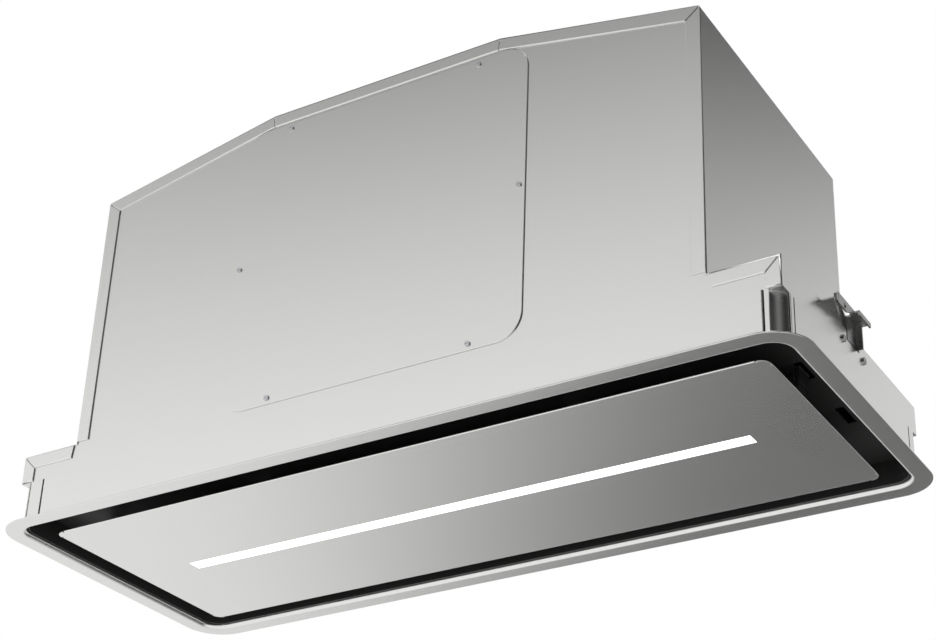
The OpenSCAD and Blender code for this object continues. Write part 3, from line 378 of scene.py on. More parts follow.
@dataclass(frozen=True)
class BrushedSteel(Finish):
    """Satin sheet: long fine streaks along the grain in colour, gloss and height."""

    grain: Axis = Axis.X
    fine_length: float = 0.045
    fine_width: float = 0.0006
    fine_depth: float = 0.000003
    broad_length: float = 0.27
    broad_width: float = 0.0072
    fine_tone: float = 0.05
    broad_tone: float = 0.04
    fine_gloss: float = 0.05
    broad_gloss: float = 0.03
    cloud_gloss: float = 0.04
    cloud_waves: float = 4.0
    round_edge: float = 0.0009

    def _streaks(self, graph: Graph, length: float, width: float) -> Wire:
        """Noise drawn out along the grain.

        Args:
            graph: The material's graph.
            length: Length of a streak.
            width: Width of a streak.

        Returns:
            The noise value.
        """
        scale = [1.0 / width] * 3
        scale[self.grain.value] = 1.0 / length
        return graph.noise(scale)

    def paint(self, graph: Graph, shader: bpy.types.Node) -> None:
        """Fine streaks, broad streaks and slow clouds of gloss.

        Args:
            graph: The material's graph.
            shader: Its Principled node.
        """
        height = self._streaks(graph, self.fine_length, self.fine_width)
        fine = height - 0.5
        broad = self._streaks(graph, self.broad_length, self.broad_width) - 0.5
        clouds = graph.swing(self.cloud_waves)
        tone = fine * self.fine_tone + broad * self.broad_tone
        gloss = fine * self.fine_gloss + broad * self.broad_gloss + clouds * self.cloud_gloss
        graph.feed(shader.inputs["Base Color"], graph.shade(self.colour, tone))
        graph.feed(shader.inputs["Roughness"], gloss + self.roughness)
        graph.feed(shader.inputs["Normal"], graph.bump(height, self.fine_depth, self.round_edge))


@dataclass(frozen=True)
class Galvanised(Finish):
    """Zinc-coated sheet: crystals of slightly different tone and gloss."""

    crystal: float = 0.007
    finer: float = 2.7
    large_tone: float = 0.34
    small_tone: float = 0.16
    gloss: float = 0.35
    grain_waves: float = 700.0
    grain_depth: float = 0.00001

    def paint(self, graph: Graph, shader: bpy.types.Node) -> None:
        """Two sizes of crystals and a fine grain.

        Args:
            graph: The material's graph.
            shader: Its Principled node.
        """
        large = graph.crystals(1.0 / self.crystal)
        small = graph.crystals(self.finer / self.crystal)
        tone = large * self.large_tone + small * self.small_tone
        grain = graph.swing(self.grain_waves)
        graph.feed(shader.inputs["Base Color"], graph.shade(self.colour, tone))
        graph.feed(shader.inputs["Roughness"], tone * self.gloss + self.roughness)
        graph.feed(shader.inputs["Normal"], graph.bump(grain, self.grain_depth))


@dataclass(frozen=True)
class Coated(Finish):
    """Powder coat: a fine orange peel and slow clouds of gloss."""

    peel: float = 0.0012
    peel_depth: float = 0.00002
    peel_tone: float = 0.5
    cloud_tone: float = 0.3
    cloud_gloss: float = 0.12
    cloud_waves: float = 7.0

    def paint(self, graph: Graph, shader: bpy.types.Node) -> None:
        """Orange peel in height, with dust-like specks of tone.

        Args:
            graph: The material's graph.
            shader: Its Principled node.
        """
        peel = graph.swing(1.0 / self.peel)
        clouds = graph.swing(self.cloud_waves, 3.0)
        tone = peel * self.peel_tone + clouds * self.cloud_tone
        graph.feed(shader.inputs["Base Color"], graph.shade(self.colour, tone))
        graph.feed(shader.inputs["Roughness"], clouds * self.cloud_gloss + self.roughness)
        graph.feed(shader.inputs["Normal"], graph.bump(peel, self.peel_depth))


@dataclass(frozen=True)
class Moulded(Finish):
    """Moulded plastic or rubber: a spark-eroded grain."""

    grain: float = 0.0005
    depth: float = 0.00002
    grain_gloss: float = 0.08
    flow_waves: tuple[float, float, float] = (12.0, 5.0, 12.0)
    flow_tone: float = 0.2
    flow_gloss: float = 0.1

    def paint(self, graph: Graph, shader: bpy.types.Node) -> None:
        """Even grain in height and faint flow clouds in tone.

        Args:
            graph: The material's graph.
            shader: Its Principled node.
        """
        grain = graph.swing(1.0 / self.grain, 1.0)
        flow = graph.noise(self.flow_waves, 3.0) - 0.5
        gloss = grain * self.grain_gloss + flow * self.flow_gloss
        graph.feed(shader.inputs["Base Color"], graph.shade(self.colour, flow * self.flow_tone))
        graph.feed(shader.inputs["Roughness"], gloss + self.roughness)
        graph.feed(shader.inputs["Normal"], graph.bump(grain, self.depth))


@dataclass(frozen=True)
class Turned(Finish):
    """Turned or plated small metal: faint rings of tool marks and handling marks."""

    pitch: float = 0.00045
    mark_tone: float = 0.03
    blotch_waves: float = 160.0
    blotch_tone: float = 0.25
    blotch_gloss: float = 0.2

    def paint(self, graph: Graph, shader: bpy.types.Node) -> None:
        """Waves of tool marks across X + Y + Z, and blotches of passivation.

        Args:
            graph: The material's graph.
            shader: Its Principled node.
        """
        x, y, z = graph.axes()
        marks = ((x + y + z) * (math.tau / self.pitch)).sine()
        blotch = graph.swing(self.blotch_waves, 3.0)
        tone = marks * self.mark_tone + blotch * self.blotch_tone
        graph.feed(shader.inputs["Base Color"], graph.shade(self.colour, tone))
        graph.feed(shader.inputs["Roughness"], blotch * self.blotch_gloss + self.roughness)


@dataclass(frozen=True)
class Laminate(Finish):
    """Circuit board: copper lands and tracks under a coloured resist."""

    land: Colour = (0.75, 0.62, 0.30)
    pitch: float = 0.0027
    track_share: float = 0.3
    track_start: float = 0.55
    track_blur: float = 0.05
    track_tone: float = 0.5
    resist_tone: float = -0.1
    land_core: float = 0.12
    land_rim: float = 0.2
    land_share: float = 0.8
    land_gloss: float = 0.15

    def paint(self, graph: Graph, shader: bpy.types.Node) -> None:
        """Tracks run on the edges of large cells, and lands sit at the centres of small ones.

        Args:
            graph: The material's graph.
            shader: Its Principled node.
        """
        reach = Wire(graph, graph.cells(1.0 / self.pitch, "Distance"))
        coarse = Wire(graph, graph.cells(self.track_share / self.pitch, "Distance"))
        track = (coarse - self.track_start).step(0.0, self.track_blur)
        land = 1.0 - reach.step(self.land_core, self.land_rim)
        metal = land * self.land_share
        resist = graph.shade(self.colour, track * self.track_tone + self.resist_tone)
        graph.feed(shader.inputs["Base Color"], graph.mix(metal, resist, self.land))
        graph.feed(shader.inputs["Metallic"], metal)
        graph.feed(shader.inputs["Roughness"], self.roughness - land * self.land_gloss)


@dataclass(frozen=True)
class Glowing(Finish):
    """Lit diffuser: even light that falls off a little towards its long edges."""

    light: Colour = (1.0, 0.99, 0.96)
    edge_light: Colour = (0.4, 0.4, 0.39)
    strength: float = 1.35
    half_width: float = 0.0062
    fall: float = 0.12
    grain: float = 0.02
    grain_waves: float = 900.0

    def paint(self, graph: Graph, shader: bpy.types.Node) -> None:
        """Light by the distance from the bar's middle line, with a faint grain.

        Args:
            graph: The material's graph.
            shader: Its Principled node.
        """
        _, y, _ = graph.axes()
        across = (y * y) / (self.half_width**2)
        grain = graph.swing(self.grain_waves, 1.0) * self.grain
        fade = (1.0 - across * self.fall + grain).held(0.0, 1.0)
        graph.feed(shader.inputs["Emission Color"], graph.mix(fade, self.edge_light, self.light))
        graph.feed(shader.inputs["Emission Strength"], self.strength)
        graph.feed(shader.inputs["Roughness"], grain + self.roughness)


STEEL: Colour = (0.800, 0.800, 0.785)
WHITE: Colour = (1.0, 1.0, 1.0)


class Shop:
    """The finishes that the hood is made in."""

    steel_x = BrushedSteel("satin_steel_along_x", STEEL, 0.25, 1.0, grain=Axis.X)
    steel_y = BrushedSteel("satin_steel_along_y", STEEL, 0.25, 1.0, grain=Axis.Y)
    black_coat = Coated("black_powder_coat", (0.030, 0.030, 0.029), 0.40)
    galvanised = Galvanised("galvanised_sheet", (0.56, 0.57, 0.58), 0.38, 1.0)
    clamp_steel = Galvanised("stamped_clamp_steel", (0.42, 0.42, 0.415), 0.34, 1.0, crystal=0.002)
    zinc = Turned("bright_zinc", (0.62, 0.63, 0.65), 0.26, 1.0)
    filter_frame = BrushedSteel("filter_aluminium", (0.78, 0.785, 0.79), 0.34, 1.0, grain=Axis.X)
    filter_mesh = Turned("mesh_aluminium", (0.74, 0.745, 0.75), 0.30, 1.0)
    channel = BrushedSteel("extruded_aluminium", (0.74, 0.745, 0.75), 0.32, 1.0, grain=Axis.X)
    light_board = Laminate("white_light_board", (0.80, 0.81, 0.79), 0.45, pitch=0.006)
    diffuser = Glowing("opal_diffuser", (0.92, 0.92, 0.90), 0.45)
    end_cap = Moulded("grey_end_cap", (0.30, 0.30, 0.31), 0.5)
    wheel = Moulded("black_nylon", (0.022, 0.022, 0.024), 0.48)
    cast = Galvanised("cast_aluminium", (0.50, 0.50, 0.50), 0.5, 1.0, crystal=0.0015)
    rubber = Moulded("black_rubber", (0.018, 0.018, 0.018), 0.75, grain=0.0009)
    capacitor = Moulded("white_can", (0.82, 0.82, 0.80), 0.38)
    duct_grey = Moulded("grey_plastic", (0.16, 0.165, 0.17), 0.5)
    collar = Moulded("black_collar_plastic", (0.020, 0.020, 0.021), 0.42, grain=0.0007)
    board = Laminate("green_control_board", (0.020, 0.110, 0.050), 0.4)
    driver = Moulded("black_driver_case", (0.025, 0.025, 0.027), 0.5)


def link_mesh(name: str, mesh: bpy.types.Mesh) -> bpy.types.Object:
    """Puts a mesh into the scene.

    Args:
        name: The object's name.
        mesh: Its mesh.

    Returns:
        The object, at the origin.
    """
    made = bpy.data.objects.new(name, mesh)
    bpy.context.scene.collection.objects.link(made)
    return made


def stand_for(piece: bpy.types.Object, node: str, body: str) -> None:
    """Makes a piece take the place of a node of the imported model.

    Args:
        piece: The piece.
        node: The node that it replaces.
        body: The body that it rides on.
    """
    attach(piece, body)
    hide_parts(node)
    LOG.info("piece %s: %d faces, on %s", piece.name, len(piece.data.polygons), body)


def array_of(items: Any, key: str, width: int, kind: type) -> np.ndarray:
    """One property of many mesh items as an array.

    Args:
        items: The mesh's vertices, edges, triangles or attribute values.
        key: The property's name.
        width: Number of values that each item has.
        kind: Number type of the array.

    Returns:
        Array of items x width.
    """
    values = np.empty(width * len(items), kind)
    items.foreach_get(key, values)
    return values.reshape(-1, width)


@dataclass
class FoldedSheet:
    """A sheet-metal node's own faces, with its folds and cut edges rounded.

    The node's triangles are joined where they meet, flat neighbours are merged, and each sharp
    edge gets a Bevel weight. On a face at face_y to either side, folds and downward cut edges get
    a radius of their own. All other sharp edges get the radius that deburring leaves.
    """

    node: str
    finish: Finish
    body: str = "housing"
    fold: float = 0.0015
    cut: float = 0.00095
    burr: float = 0.00035
    face_y: float = 0.0
    slot: str = "stainless"
    weld: float = 0.002 * MM
    flat_deg: float = 0.2
    sharp_deg: float = 30.0
    even: float = 0.01 * MM
    face_play: float = 0.05 * MM
    down: float = -0.9
    strip_least: float = 3.0 * MM
    cut_least: float = 20.0 * MM
    slit_reach: float = 1.2 * MM
    slit_depth: float = 1.5 * MM
    rings: int = 3

    def _joined(self) -> tuple[np.ndarray, np.ndarray]:
        """The node's corners and triangles, with one corner for each place."""
        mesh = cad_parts[self.node].data
        mesh.calc_loop_triangles()
        corners = array_of(mesh.vertices, "co", 3, np.float32)
        faces = array_of(mesh.loop_triangles, "vertices", 3, np.int32)
        keys = np.round(corners / self.weld).astype(np.int64)
        _, first, back = np.unique(keys, axis=0, return_index=True, return_inverse=True)
        faces = back.reshape(-1)[faces]
        whole = (faces != np.roll(faces, 1, axis=1)).all(axis=1)
        return corners[first], faces[whole]

    def _weigh(self, edge: bmesh.types.BMEdge) -> float:
        """Share of the fold's radius that an edge gets.

        On the strips' face, an edge between faces wider than strip_least is a fold, and a long
        one on a face that looks down is a cut edge. Short edges and hollow corners stay sharp.

        Args:
            edge: An edge of the merged mesh.

        Returns:
            The weight, from 0 to 1.
        """
        if len(edge.link_faces) != 2 or edge.calc_face_angle_signed(0.0) < math.radians(self.sharp_deg):
            return 0.0
        length = edge.calc_length()
        if length < 2.0 * self.fold:
            return 0.0
        first, second = (end.co.y for end in edge.verts)
        on_face = abs(first - second) < self.even and abs(abs(first) - self.face_y) < self.face_play
        if on_face and min(face.calc_area() for face in edge.link_faces) > self.strip_least * length:
            return 1.0
        looks_down = any(face.normal.z < self.down for face in edge.link_faces)
        if on_face and length > self.cut_least and looks_down:
            return self.cut / self.fold
        return self.burr / self.fold

    def _shorten_slits(self, mesh: bpy.types.Mesh) -> None:
        """Ends each mitre slit clear of the fold's rounding.

        A slit ends beside the corner in which two folds meet. The mean of its end's points is
        moved away from the corner, in the plane of the strips, to fold * sqrt(2) + cut from it.

        Args:
            mesh: The merged and weighted mesh.
        """
        corners = array_of(mesh.vertices, "co", 3, np.float32)
        edges = array_of(mesh.edges, "vertices", 2, np.int32)
        weight = array_of(mesh.attributes["bevel_weight_edge"].data, "value", 1, np.float32)[:, 0]
        folds = np.bincount(edges[weight == 1.0].reshape(-1), minlength=len(corners))
        tips = np.flatnonzero(folds == 2)
        clear = self.fold * math.sqrt(2.0) + self.cut
        for tip, place in zip(tips, corners[tips]):
            away = corners - place
            near = np.hypot(away[:, 0], away[:, 2]) < self.slit_reach
            near &= np.abs(away[:, 1]) < self.slit_depth
            near[tip] = False
            if near.any():
                middle = away[near].mean(axis=0) * (1.0, 0.0, 1.0)
                length = np.linalg.norm(middle)
                corners[near] += (middle * (clear / length - 1.0)).astype(np.float32)
        mesh.vertices.foreach_set("co", corners.reshape(-1))
        mesh.update()

    def _merged(self) -> bpy.types.Mesh:
        """The node's faces with flat neighbours merged and a weight on each sharp edge."""
        corners, faces = self._joined()
        mesh = bpy.data.meshes.new(self.node + "_sheet")
        mesh.from_pydata(corners.tolist(), [], faces.tolist())
        work = bmesh.new()
        work.from_mesh(mesh)
        flat = math.radians(self.flat_deg)
        bmesh.ops.dissolve_limit(
            work, angle_limit=flat, verts=work.verts[:], edges=work.edges[:], delimit={"NORMAL"}
        )
        weight = work.edges.layers.float.new("bevel_weight_edge")
        for edge in work.edges:
            edge[weight] = self._weigh(edge)
            edge.smooth = edge.calc_face_angle(0.0) < math.radians(self.sharp_deg)
        for face in work.faces:
            face.smooth = True
        work.to_mesh(mesh)
        work.free()
        return mesh

    def build(self) -> bpy.types.Object:
        """Makes the piece in place of the node.

        Returns:
            The piece.
        """
        mesh = self._merged()
        self._shorten_slits(mesh)
        mesh.materials.append(self.finish.material())
        piece = link_mesh(self.node + "_sheet", mesh)
        bevel = piece.modifiers.new("rounding", "BEVEL")
        bevel.width = self.fold
        bevel.segments = self.rings
        bevel.limit_method = "WEIGHT"
        bevel.use_clamp_overlap = False
        bevel.harden_normals = True
        stand_for(piece, self.node, self.body)
        return piece


class Assembly:
    """What every sub-assembly can do with its nodes and pieces."""

    def dress(self, finish: Finish, *names: str) -> None:
        """Gives CAD nodes a finish.

        Args:
            finish: The finish.
            names: The nodes' names.
        """
        for name in names:
            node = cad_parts[name]
            if not node.material_slots:
                node.data.materials.append(None)
            for slot in node.material_slots:
                slot.material = finish.material()
            LOG.info("node %s wears %s", name, finish.name)

    def build(self) -> None:
        """Makes the fine pieces and dresses the nodes."""
        raise NotImplementedError


@dataclass
class Housing(Assembly):
    """Folded steel shell with its cover and flange; strip_y is the front of its strips."""

    strip_y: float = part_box("access_cover")[0].y

    def build(self) -> None:
        """Rounds the sheets' folds and edges, each with the grain of its own blank."""
        for name in ("flange_frame", "front_plate", "rear_plate", "access_cover"):
            FoldedSheet(name, Shop.steel_x).build()
        for name in ("top_wrapper", "end_wrapper_left", "end_wrapper_right"):
            FoldedSheet(name, Shop.steel_y, burr=0.0, face_y=abs(self.strip_y)).build()
        self.dress(Shop.zinc, "cover_screws")


@dataclass
class Liner(Assembly):
    """Black sleeve behind the flange with its deck, rivets and catches."""

    def build(self) -> None:
        """Dresses the sleeve and what is riveted to it."""
        self.dress(Shop.black_coat, "inner_liner", "liner_rivets", "catch_clips", "hinge_brackets")


@dataclass
class ExpandedMesh:
    """Pad of expanded aluminium in a filter: a fine sheet between two coarse ones.

    Strand k of a sheet runs along X. Its middle line is y = (k + (-1) ** k * reach * cos(turn)) * pitch
    and z = level + lift * cos(turn), where turn is 2 * pi * x / diamond. With reach just under 0.5
    neighbours touch at every half turn, which leaves diamond holes. The section is a rectangle.
    """

    node: str
    finish: Finish
    body: str = "housing"
    diamond: float = 0.0105
    pitch: float = 0.0048
    strand: float = 0.0007
    lift: float = 0.0003
    inset: float = 0.0015
    play: float = 0.0002
    steps: int = 8
    scales: tuple[float, ...] = (1.0, 0.7, 1.0)
    slot: str = "mesh_aluminium"

    def _sheet(self, level: float, scale: float, box: tuple[Vector, Vector]) -> np.ndarray:
        """Corner points of one sheet's strands.

        Args:
            level: Height of the sheet's middle.
            scale: Size of its diamonds against the coarse ones.
            box: The node's box.

        Returns:
            Array of strands x steps x 4 corners x 3.
        """
        low, high = box
        pitch = self.pitch * scale
        count = int((high.y - low.y - 2.0 * self.inset) / pitch)
        length = high.x - low.x - 2.0 * self.inset
        turns = round(length / (self.diamond * scale))
        k = np.arange(count)[:, None]
        turn = np.linspace(0.0, math.tau * turns, turns * self.steps + 1)[None, :]
        reach = 0.5 - 0.5 * self.strand / pitch
        x = low.x + self.inset + length * turn / (math.tau * turns) + 0.0 * k
        across = k - 0.5 * (count - 1) + (-1.0) ** k * reach * np.cos(turn)
        y = 0.5 * (low.y + high.y) + across * pitch
        z = level + self.lift * np.cos(turn) + 0.0 * k
        half = 0.5 * self.strand
        aside = np.array([[-half, -half], [half, -half], [half, half], [-half, half]])
        middle = np.stack([x, y, z], axis=-1)[:, :, None, :]
        return middle + np.concatenate([np.zeros((4, 1)), aside], axis=1)

    def build(self) -> bpy.types.Object:
        """Makes the pad in place of the node: each strand is a closed bar.

        Returns:
            The piece.
        """
        low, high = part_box(self.node)
        room = high.z - low.z - 2.0 * self.lift - self.strand - self.play
        points, quads, start = [], [], 0
        for number, scale in enumerate(self.scales):
            level = 0.5 * (low.z + high.z) + room * (number / (len(self.scales) - 1) - 0.5)
            grid = self._sheet(level, scale, (low, high))
            index = start + np.arange(grid[..., 0].size).reshape(grid.shape[:3])
            beside = np.roll(index, -1, axis=2)
            sides = np.stack([index[:, :-1], beside[:, :-1], beside[:, 1:], index[:, 1:]], axis=-1)
            quads += [sides.reshape(-1, 4), index[:, 0, ::-1], index[:, -1]]
            points.append(grid.reshape(-1, 3))
            start += index.size
        mesh = bpy.data.meshes.new(self.node + "_pad")
        mesh.from_pydata(np.concatenate(points), [], np.concatenate(quads).tolist())
        mesh.update()
        mesh.materials.append(self.finish.material())
        pad = link_mesh(self.node + "_pad", mesh)
        stand_for(pad, self.node, self.body)
        return pad


@dataclass
class Filters(Assembly):
    """Two grease filters with their latches."""

    def build(self) -> None:
        """Makes the pads and dresses frames and latches."""
        for side in ("left", "right"):
            ExpandedMesh(f"filter_mesh_{side}", Shop.filter_mesh).build()
            self.dress(Shop.filter_frame, f"filter_frame_{side}")
            self.dress(Shop.zinc, f"filter_latch_{side}")


@dataclass
class Panel(Assembly):
    """Hinged perimeter panel with its light."""

    def build(self) -> None:
        """Rounds the panel's edges and dresses its light, stiffeners, strikes and hinge leaves."""
        FoldedSheet("perimeter_panel", Shop.steel_x, body="panel", burr=0.00025).build()
        self.dress(Shop.black_coat, "panel_strikes")
        self.dress(Shop.galvanised, "panel_stiffeners")
        self.dress(Shop.zinc, "hinge_leaves", "hinge_pins")
        self.dress(Shop.channel, "led_channel")
        self.dress(Shop.light_board, "led_board")
        self.dress(Shop.diffuser, "led_diffuser")
        self.dress(Shop.end_cap, "led_end_caps")


@dataclass
class Blower(Assembly):
    """Double-inlet blower with its motor."""

    def build(self) -> None:
        """Dresses scroll, wheel, motor and what carries them."""
        self.dress(Shop.galvanised, "scroll_shell", "scroll_side_front", "scroll_side_rear")
        self.dress(Shop.galvanised, "blower_rails", "motor_bracket", "capacitor_clip")
        self.dress(Shop.wheel, "impeller_cage")
        self.dress(Shop.cast, "impeller_hub", "motor_housing")
        self.dress(Shop.zinc, "motor_shaft")
        self.dress(Shop.rubber, "motor_grommets")
        self.dress(Shop.capacitor, "capacitor")


@dataclass
class Outlet(Assembly):
    """Adapter, duct collar and the two damper flaps."""

    def build(self) -> None:
        """Dresses the plastic parts and their fasteners."""
        self.dress(Shop.duct_grey, "outlet_adapter", "damper_flap_left", "damper_flap_right")
        self.dress(Shop.collar, "duct_collar")
        self.dress(Shop.zinc, "damper_pin", "collar_screws")


@dataclass
class Electrics(Assembly):
    """Control box, its board, the light driver and the lead entry."""

    def build(self) -> None:
        """Dresses box, lid, board, driver and grommet."""
        self.dress(Shop.galvanised, "control_box", "control_box_lid")
        self.dress(Shop.board, "control_board")
        self.dress(Shop.driver, "led_driver")
        self.dress(Shop.rubber, "lead_grommet")


@dataclass
class Clamps(Assembly):
    """Spring clamps that hold the hood in its cut-out."""

    def build(self) -> None:
        """Dresses brackets, catches, pins and screws."""
        self.dress(Shop.clamp_steel, "clamp_bracket_left", "clamp_bracket_right")
        self.dress(Shop.clamp_steel, "clamp_catch_left", "clamp_catch_right", "clamp_screws")
        self.dress(Shop.zinc, "clamp_pins")


@dataclass
class Camera:
    """The photograph's camera: below the hood, to the right of its front."""

    place: Place = (0.75776, -1.16305, -0.62601)
    heading_deg: float = 29.685
    rise_deg: float = 27.818
    roll_deg: float = 0.816
    lens_mm: float = 75.0
    sensor_mm: float = 36.0
    shift: tuple[float, float] = (-0.0988, 0.0753)

    def build(self) -> None:
        """Turns the camera by its roll, then up by its rise, then left by its heading."""
        data = bpy.data.cameras.new("photo_camera")
        data.lens = self.lens_mm
        data.sensor_width = self.sensor_mm
        data.shift_x, data.shift_y = self.shift
        camera = bpy.data.objects.new("photo_camera", data)
        bpy.context.scene.collection.objects.link(camera)
        turns = ((self.roll_deg, "Z"), (90.0 + self.rise_deg, "X"), (self.heading_deg, "Z"))
        matrix = Matrix.Identity(4)
        for angle, axis in turns:
            matrix = Matrix.Rotation(math.radians(angle), 4, axis) @ matrix
        camera.matrix_world = Matrix.Translation(self.place) @ matrix
        bpy.context.scene.camera = camera
        LOG.info("camera at %s", self.place)


def surface(name: str, points: np.ndarray, wrap: bool = False) -> bpy.types.Object:
    """Makes an object of a grid of points.

    Every grid cell (i, j) is one quad between rows i and i+1 and columns j and j+1.

    Args:
        name: The object's name.
        points: Array of rows x columns x 3.
        wrap: Whether the last column joins the first.

    Returns:
        The object, linked to the scene.
    """
    rows, columns, _ = points.shape
    index = np.arange(rows * columns).reshape(rows, columns)
    after = np.roll(index, -1, axis=1)
    last = columns if wrap else columns - 1
    quads = np.stack([index[:-1], after[:-1], after[1:], index[1:]], axis=-1)[:, :last]
    mesh = bpy.data.meshes.new(name)
    mesh.from_pydata(points.reshape(-1, 3), [], quads.reshape(-1, 4).tolist())
    mesh.update()
    return link_mesh(name, mesh)


@dataclass
class Card:
    """Grey studio card: a flat rectangle whose light changes from place to place."""

    name: str
    centre: Place
    along: Place
    across: Place
    least: float = 0.02

    def level(self, x: Wire, y: Wire, z: Wire) -> Wire:
        """Light that the card sends out at a place.

        Args:
            x: Place along X.
            y: Place along Y.
            z: Place along Z.

        Returns:
            The level, where 1 is the white of the backdrop.
        """
        raise NotImplementedError

    def build(self) -> None:
        """The rectangle is centre + u * along + v * across, with u and v from -1 to 1."""
        u, v = np.meshgrid(np.linspace(-1, 1, 2), np.linspace(-1, 1, 2), indexing="ij")
        points = (
            np.array(self.centre)
            + u[..., None] * np.array(self.along)
            + v[..., None] * np.array(self.across)
        )
        card = surface(self.name, points)
        material = bpy.data.materials.new(self.name)
        material.use_nodes = True
        graph = Graph(material.node_tree)
        light = graph.node("ShaderNodeEmission", inputs={"Color": WHITE})
        graph.feed(light.inputs["Strength"], self.level(*graph.axes()).held(self.least, 1.0))
        graph.node("ShaderNodeOutputMaterial", inputs={"Surface": light.outputs[0]})
        card.data.materials.append(material)
        card.visible_camera = False
        card.visible_shadow = False
        card.visible_diffuse = False
        LOG.info("card %s", self.name)


@dataclass
class FrontCard(Card):
    """Stands before the hood and darkens upwards, and so does the front plate that shows it."""

    foot: float = 1.435
    fall: float = 0.46
    left: float = -2.49
    lean: float = 0.21

    def level(self, x: Wire, y: Wire, z: Wire) -> Wire:
        """1 at the foot, falling with height, and faster to the right."""
        return 1.0 - (z - self.foot) * ((x - self.left) * self.lean + 1.0) * self.fall


@dataclass
class EndCard(Card):
    """Stands to the right and behind, for the end walls."""

    low: float = 1.775
    near: float = 2.106
    base: float = 0.426
    fall: float = 0.516
    rise: float = 0.33
    limit: float = 0.76

    def level(self, x: Wire, y: Wire, z: Wire) -> Wire:
        """Falls with height and rises away from the camera."""
        level = (y - self.near) * self.rise - (z - self.low) * self.fall + self.base
        return level.held(self.least, self.limit)


@dataclass
class UnderCard(Card):
    """Lies below and behind, for the panel and the flange."""

    skew: float = 0.61
    start: float = -1.0
    end: float = 0.8
    bright: float = 0.885
    dark: float = 0.152

    def level(self, x: Wire, y: Wire, z: Wire) -> Wire:
        """A smooth step from bright to dark along X, skewed by Y."""
        share = (y * self.skew + x).step(self.start, self.end)
        return self.bright - share * (self.bright - self.dark)


@dataclass
class SideCard(Card):
    """Stands to the right of the camera and darkens the bends that face it."""

    dark: float = 0.03
    glow: float = 0.18
    middle: float = -0.5
    reach: float = 0.25

    def level(self, x: Wire, y: Wire, z: Wire) -> Wire:
        """Dark, with a faint glow exp(-((y - middle) / reach) ** 2) across it."""
        off = (y - self.middle) / self.reach
        return math.e ** (off * off * -1.0) * self.glow + self.dark


@dataclass
class DarkCard(Card):
    """Darkens the bends between the front and the roof, or between the front and the ends."""

    dark: float = 0.04

    def level(self, x: Wire, y: Wire, z: Wire) -> Wire:
        """The same dark level all over."""
        return x * 0.0 + self.dark


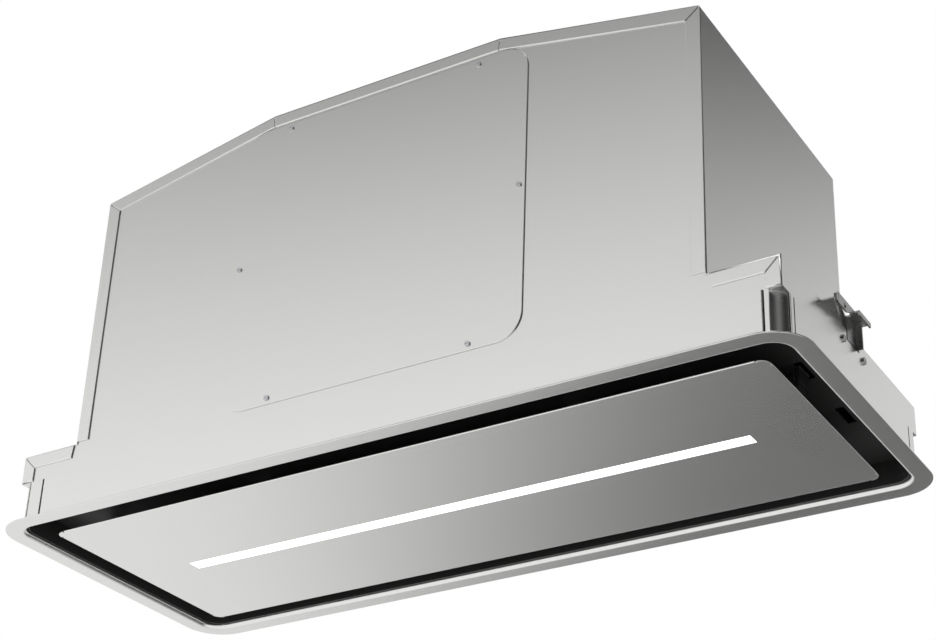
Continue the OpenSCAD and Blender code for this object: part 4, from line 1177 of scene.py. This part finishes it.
@dataclass
class Studio:
    """Floor, cards, one lamp and the white backdrop."""

    floor_z: float = -2.7
    floor_radius: float = 3.5
    floor_hole: float = 0.001
    floor_rings: int = 24
    floor_spokes: int = 96
    floor_tone: Colour = (0.86, 0.86, 0.86)
    floor_roughness: float = 0.9
    fade_from: float = 0.55
    fade_to: float = 0.98
    day_level: float = 0.75
    lamp_place: Place = (0.9, -1.2, 3.4)
    lamp_aim: Place = (0.0, 0.0, 0.15)
    lamp_watts: float = 20.0
    lamp_size: float = 1.6
    cards: list[Card] = field(
        default_factory=lambda: [
            FrontCard("front_card", (-2.6, -2.5, 3.5), (2.5, 0, 0), (0, 0, 2.8)),
            EndCard("end_card", (1.3, 4.0, 2.6), (0, 3.1, 0), (0, 0, 3.2)),
            UnderCard("under_card", (-0.5, 3.0, -1.2), (4.5, 0, 0), (0, 2.1, 0)),
            SideCard("side_card", (1.15, -0.8, 1.4), (0.15, 1.7, 0), (0, 0, 2.2)),
            DarkCard("roof_card", (-1.4, 0.5, 3.2), (1.1, 0, 0), (0, 3.0, 0)),
            DarkCard("front_flag", (0.6, -2.45, 1.6), (0.68, 0, 0), (0, 0, 2.4)),
        ]
    )

    def _world(self) -> None:
        """White for camera, glossy and transmitted rays, and daylight for the rest."""
        world = bpy.data.worlds.new("studio")
        bpy.context.scene.world = world
        world.use_nodes = True
        graph = Graph(world.node_tree)
        path = graph.node("ShaderNodeLightPath")
        kinds = ("Is Camera Ray", "Is Glossy Ray", "Is Transmission Ray")
        camera, glossy, through = (Wire(graph, path.outputs[kind]) for kind in kinds)
        seen = (camera + glossy + through).held(0.0, 1.0)
        strength = seen * (1.0 - self.day_level) + self.day_level
        light = graph.node("ShaderNodeBackground", inputs={"Color": WHITE, "Strength": strength})
        graph.node("ShaderNodeOutputWorld", inputs={"Surface": light.outputs[0]})

    def _floor(self) -> None:
        """A disc in rings; its rim fades out, so that it has no edge against the backdrop."""
        radius, turn = np.meshgrid(
            np.linspace(self.floor_hole, self.floor_radius, self.floor_rings),
            np.linspace(0, math.tau, self.floor_spokes, endpoint=False),
            indexing="ij",
        )
        height = np.full_like(radius, self.floor_z)
        points = np.stack([radius * np.cos(turn), radius * np.sin(turn), height], -1)
        floor = surface("floor", points, wrap=True)
        floor.data.materials.append(self._floor_paint())

    def _floor_paint(self) -> bpy.types.Material:
        """Pale paint that glossy and transmitted rays see as the backdrop's white."""
        material = bpy.data.materials.new("pale_floor")
        material.use_nodes = True
        graph = Graph(material.node_tree)
        x, y, _ = graph.axes()
        reach = (x * x + y * y) ** 0.5 / self.floor_radius
        inputs = {"Base Color": self.floor_tone, "Roughness": self.floor_roughness, "Specular IOR Level": 0.0}
        paint = graph.node("ShaderNodeBsdfPrincipled", inputs=inputs)
        graph.feed(paint.inputs["Alpha"], 1.0 - reach.step(self.fade_from, self.fade_to))
        path = graph.node("ShaderNodeLightPath")
        kinds = ("Is Glossy Ray", "Is Transmission Ray")
        glossy, through = (Wire(graph, path.outputs[kind]) for kind in kinds)
        white = graph.node("ShaderNodeEmission", inputs={"Color": WHITE, "Strength": 1.0})
        shaders = {0: (glossy + through).held(0.0, 1.0), 1: paint.outputs[0], 2: white.outputs[0]}
        both = graph.node("ShaderNodeMixShader", inputs=shaders)
        graph.node("ShaderNodeOutputMaterial", inputs={"Surface": both.outputs[0]})
        return material

    def _lamp(self) -> None:
        """A square soft lamp that looks at the middle of the hood."""
        data = bpy.data.lights.new("key_lamp", "AREA")
        data.energy = self.lamp_watts
        data.size = self.lamp_size
        lamp = bpy.data.objects.new("key_lamp", data)
        bpy.context.scene.collection.objects.link(lamp)
        lamp.location = self.lamp_place
        aim = Vector(self.lamp_aim) - Vector(self.lamp_place)
        lamp.rotation_mode = "QUATERNION"
        lamp.rotation_quaternion = aim.to_track_quat("-Z", "Y")

    def build(self) -> None:
        """Sets the stage and the view transform."""
        self._world()
        self._floor()
        for card in self.cards:
            card.build()
        self._lamp()
        bpy.context.scene.view_settings.view_transform = "Standard"
        LOG.info("studio with %d cards", len(self.cards))


def main() -> None:
    """Builds every sub-assembly around the frame, then the studio and the camera."""
    logging.basicConfig(level=logging.INFO, format="%(name)s: %(message)s")
    for assembly in (Housing(), Liner(), Filters(), Panel(), Blower(), Outlet(), Electrics(), Clamps()):
        assembly.build()
    Studio().build()
    Camera().build()


if __name__ == "__main__":
    main()
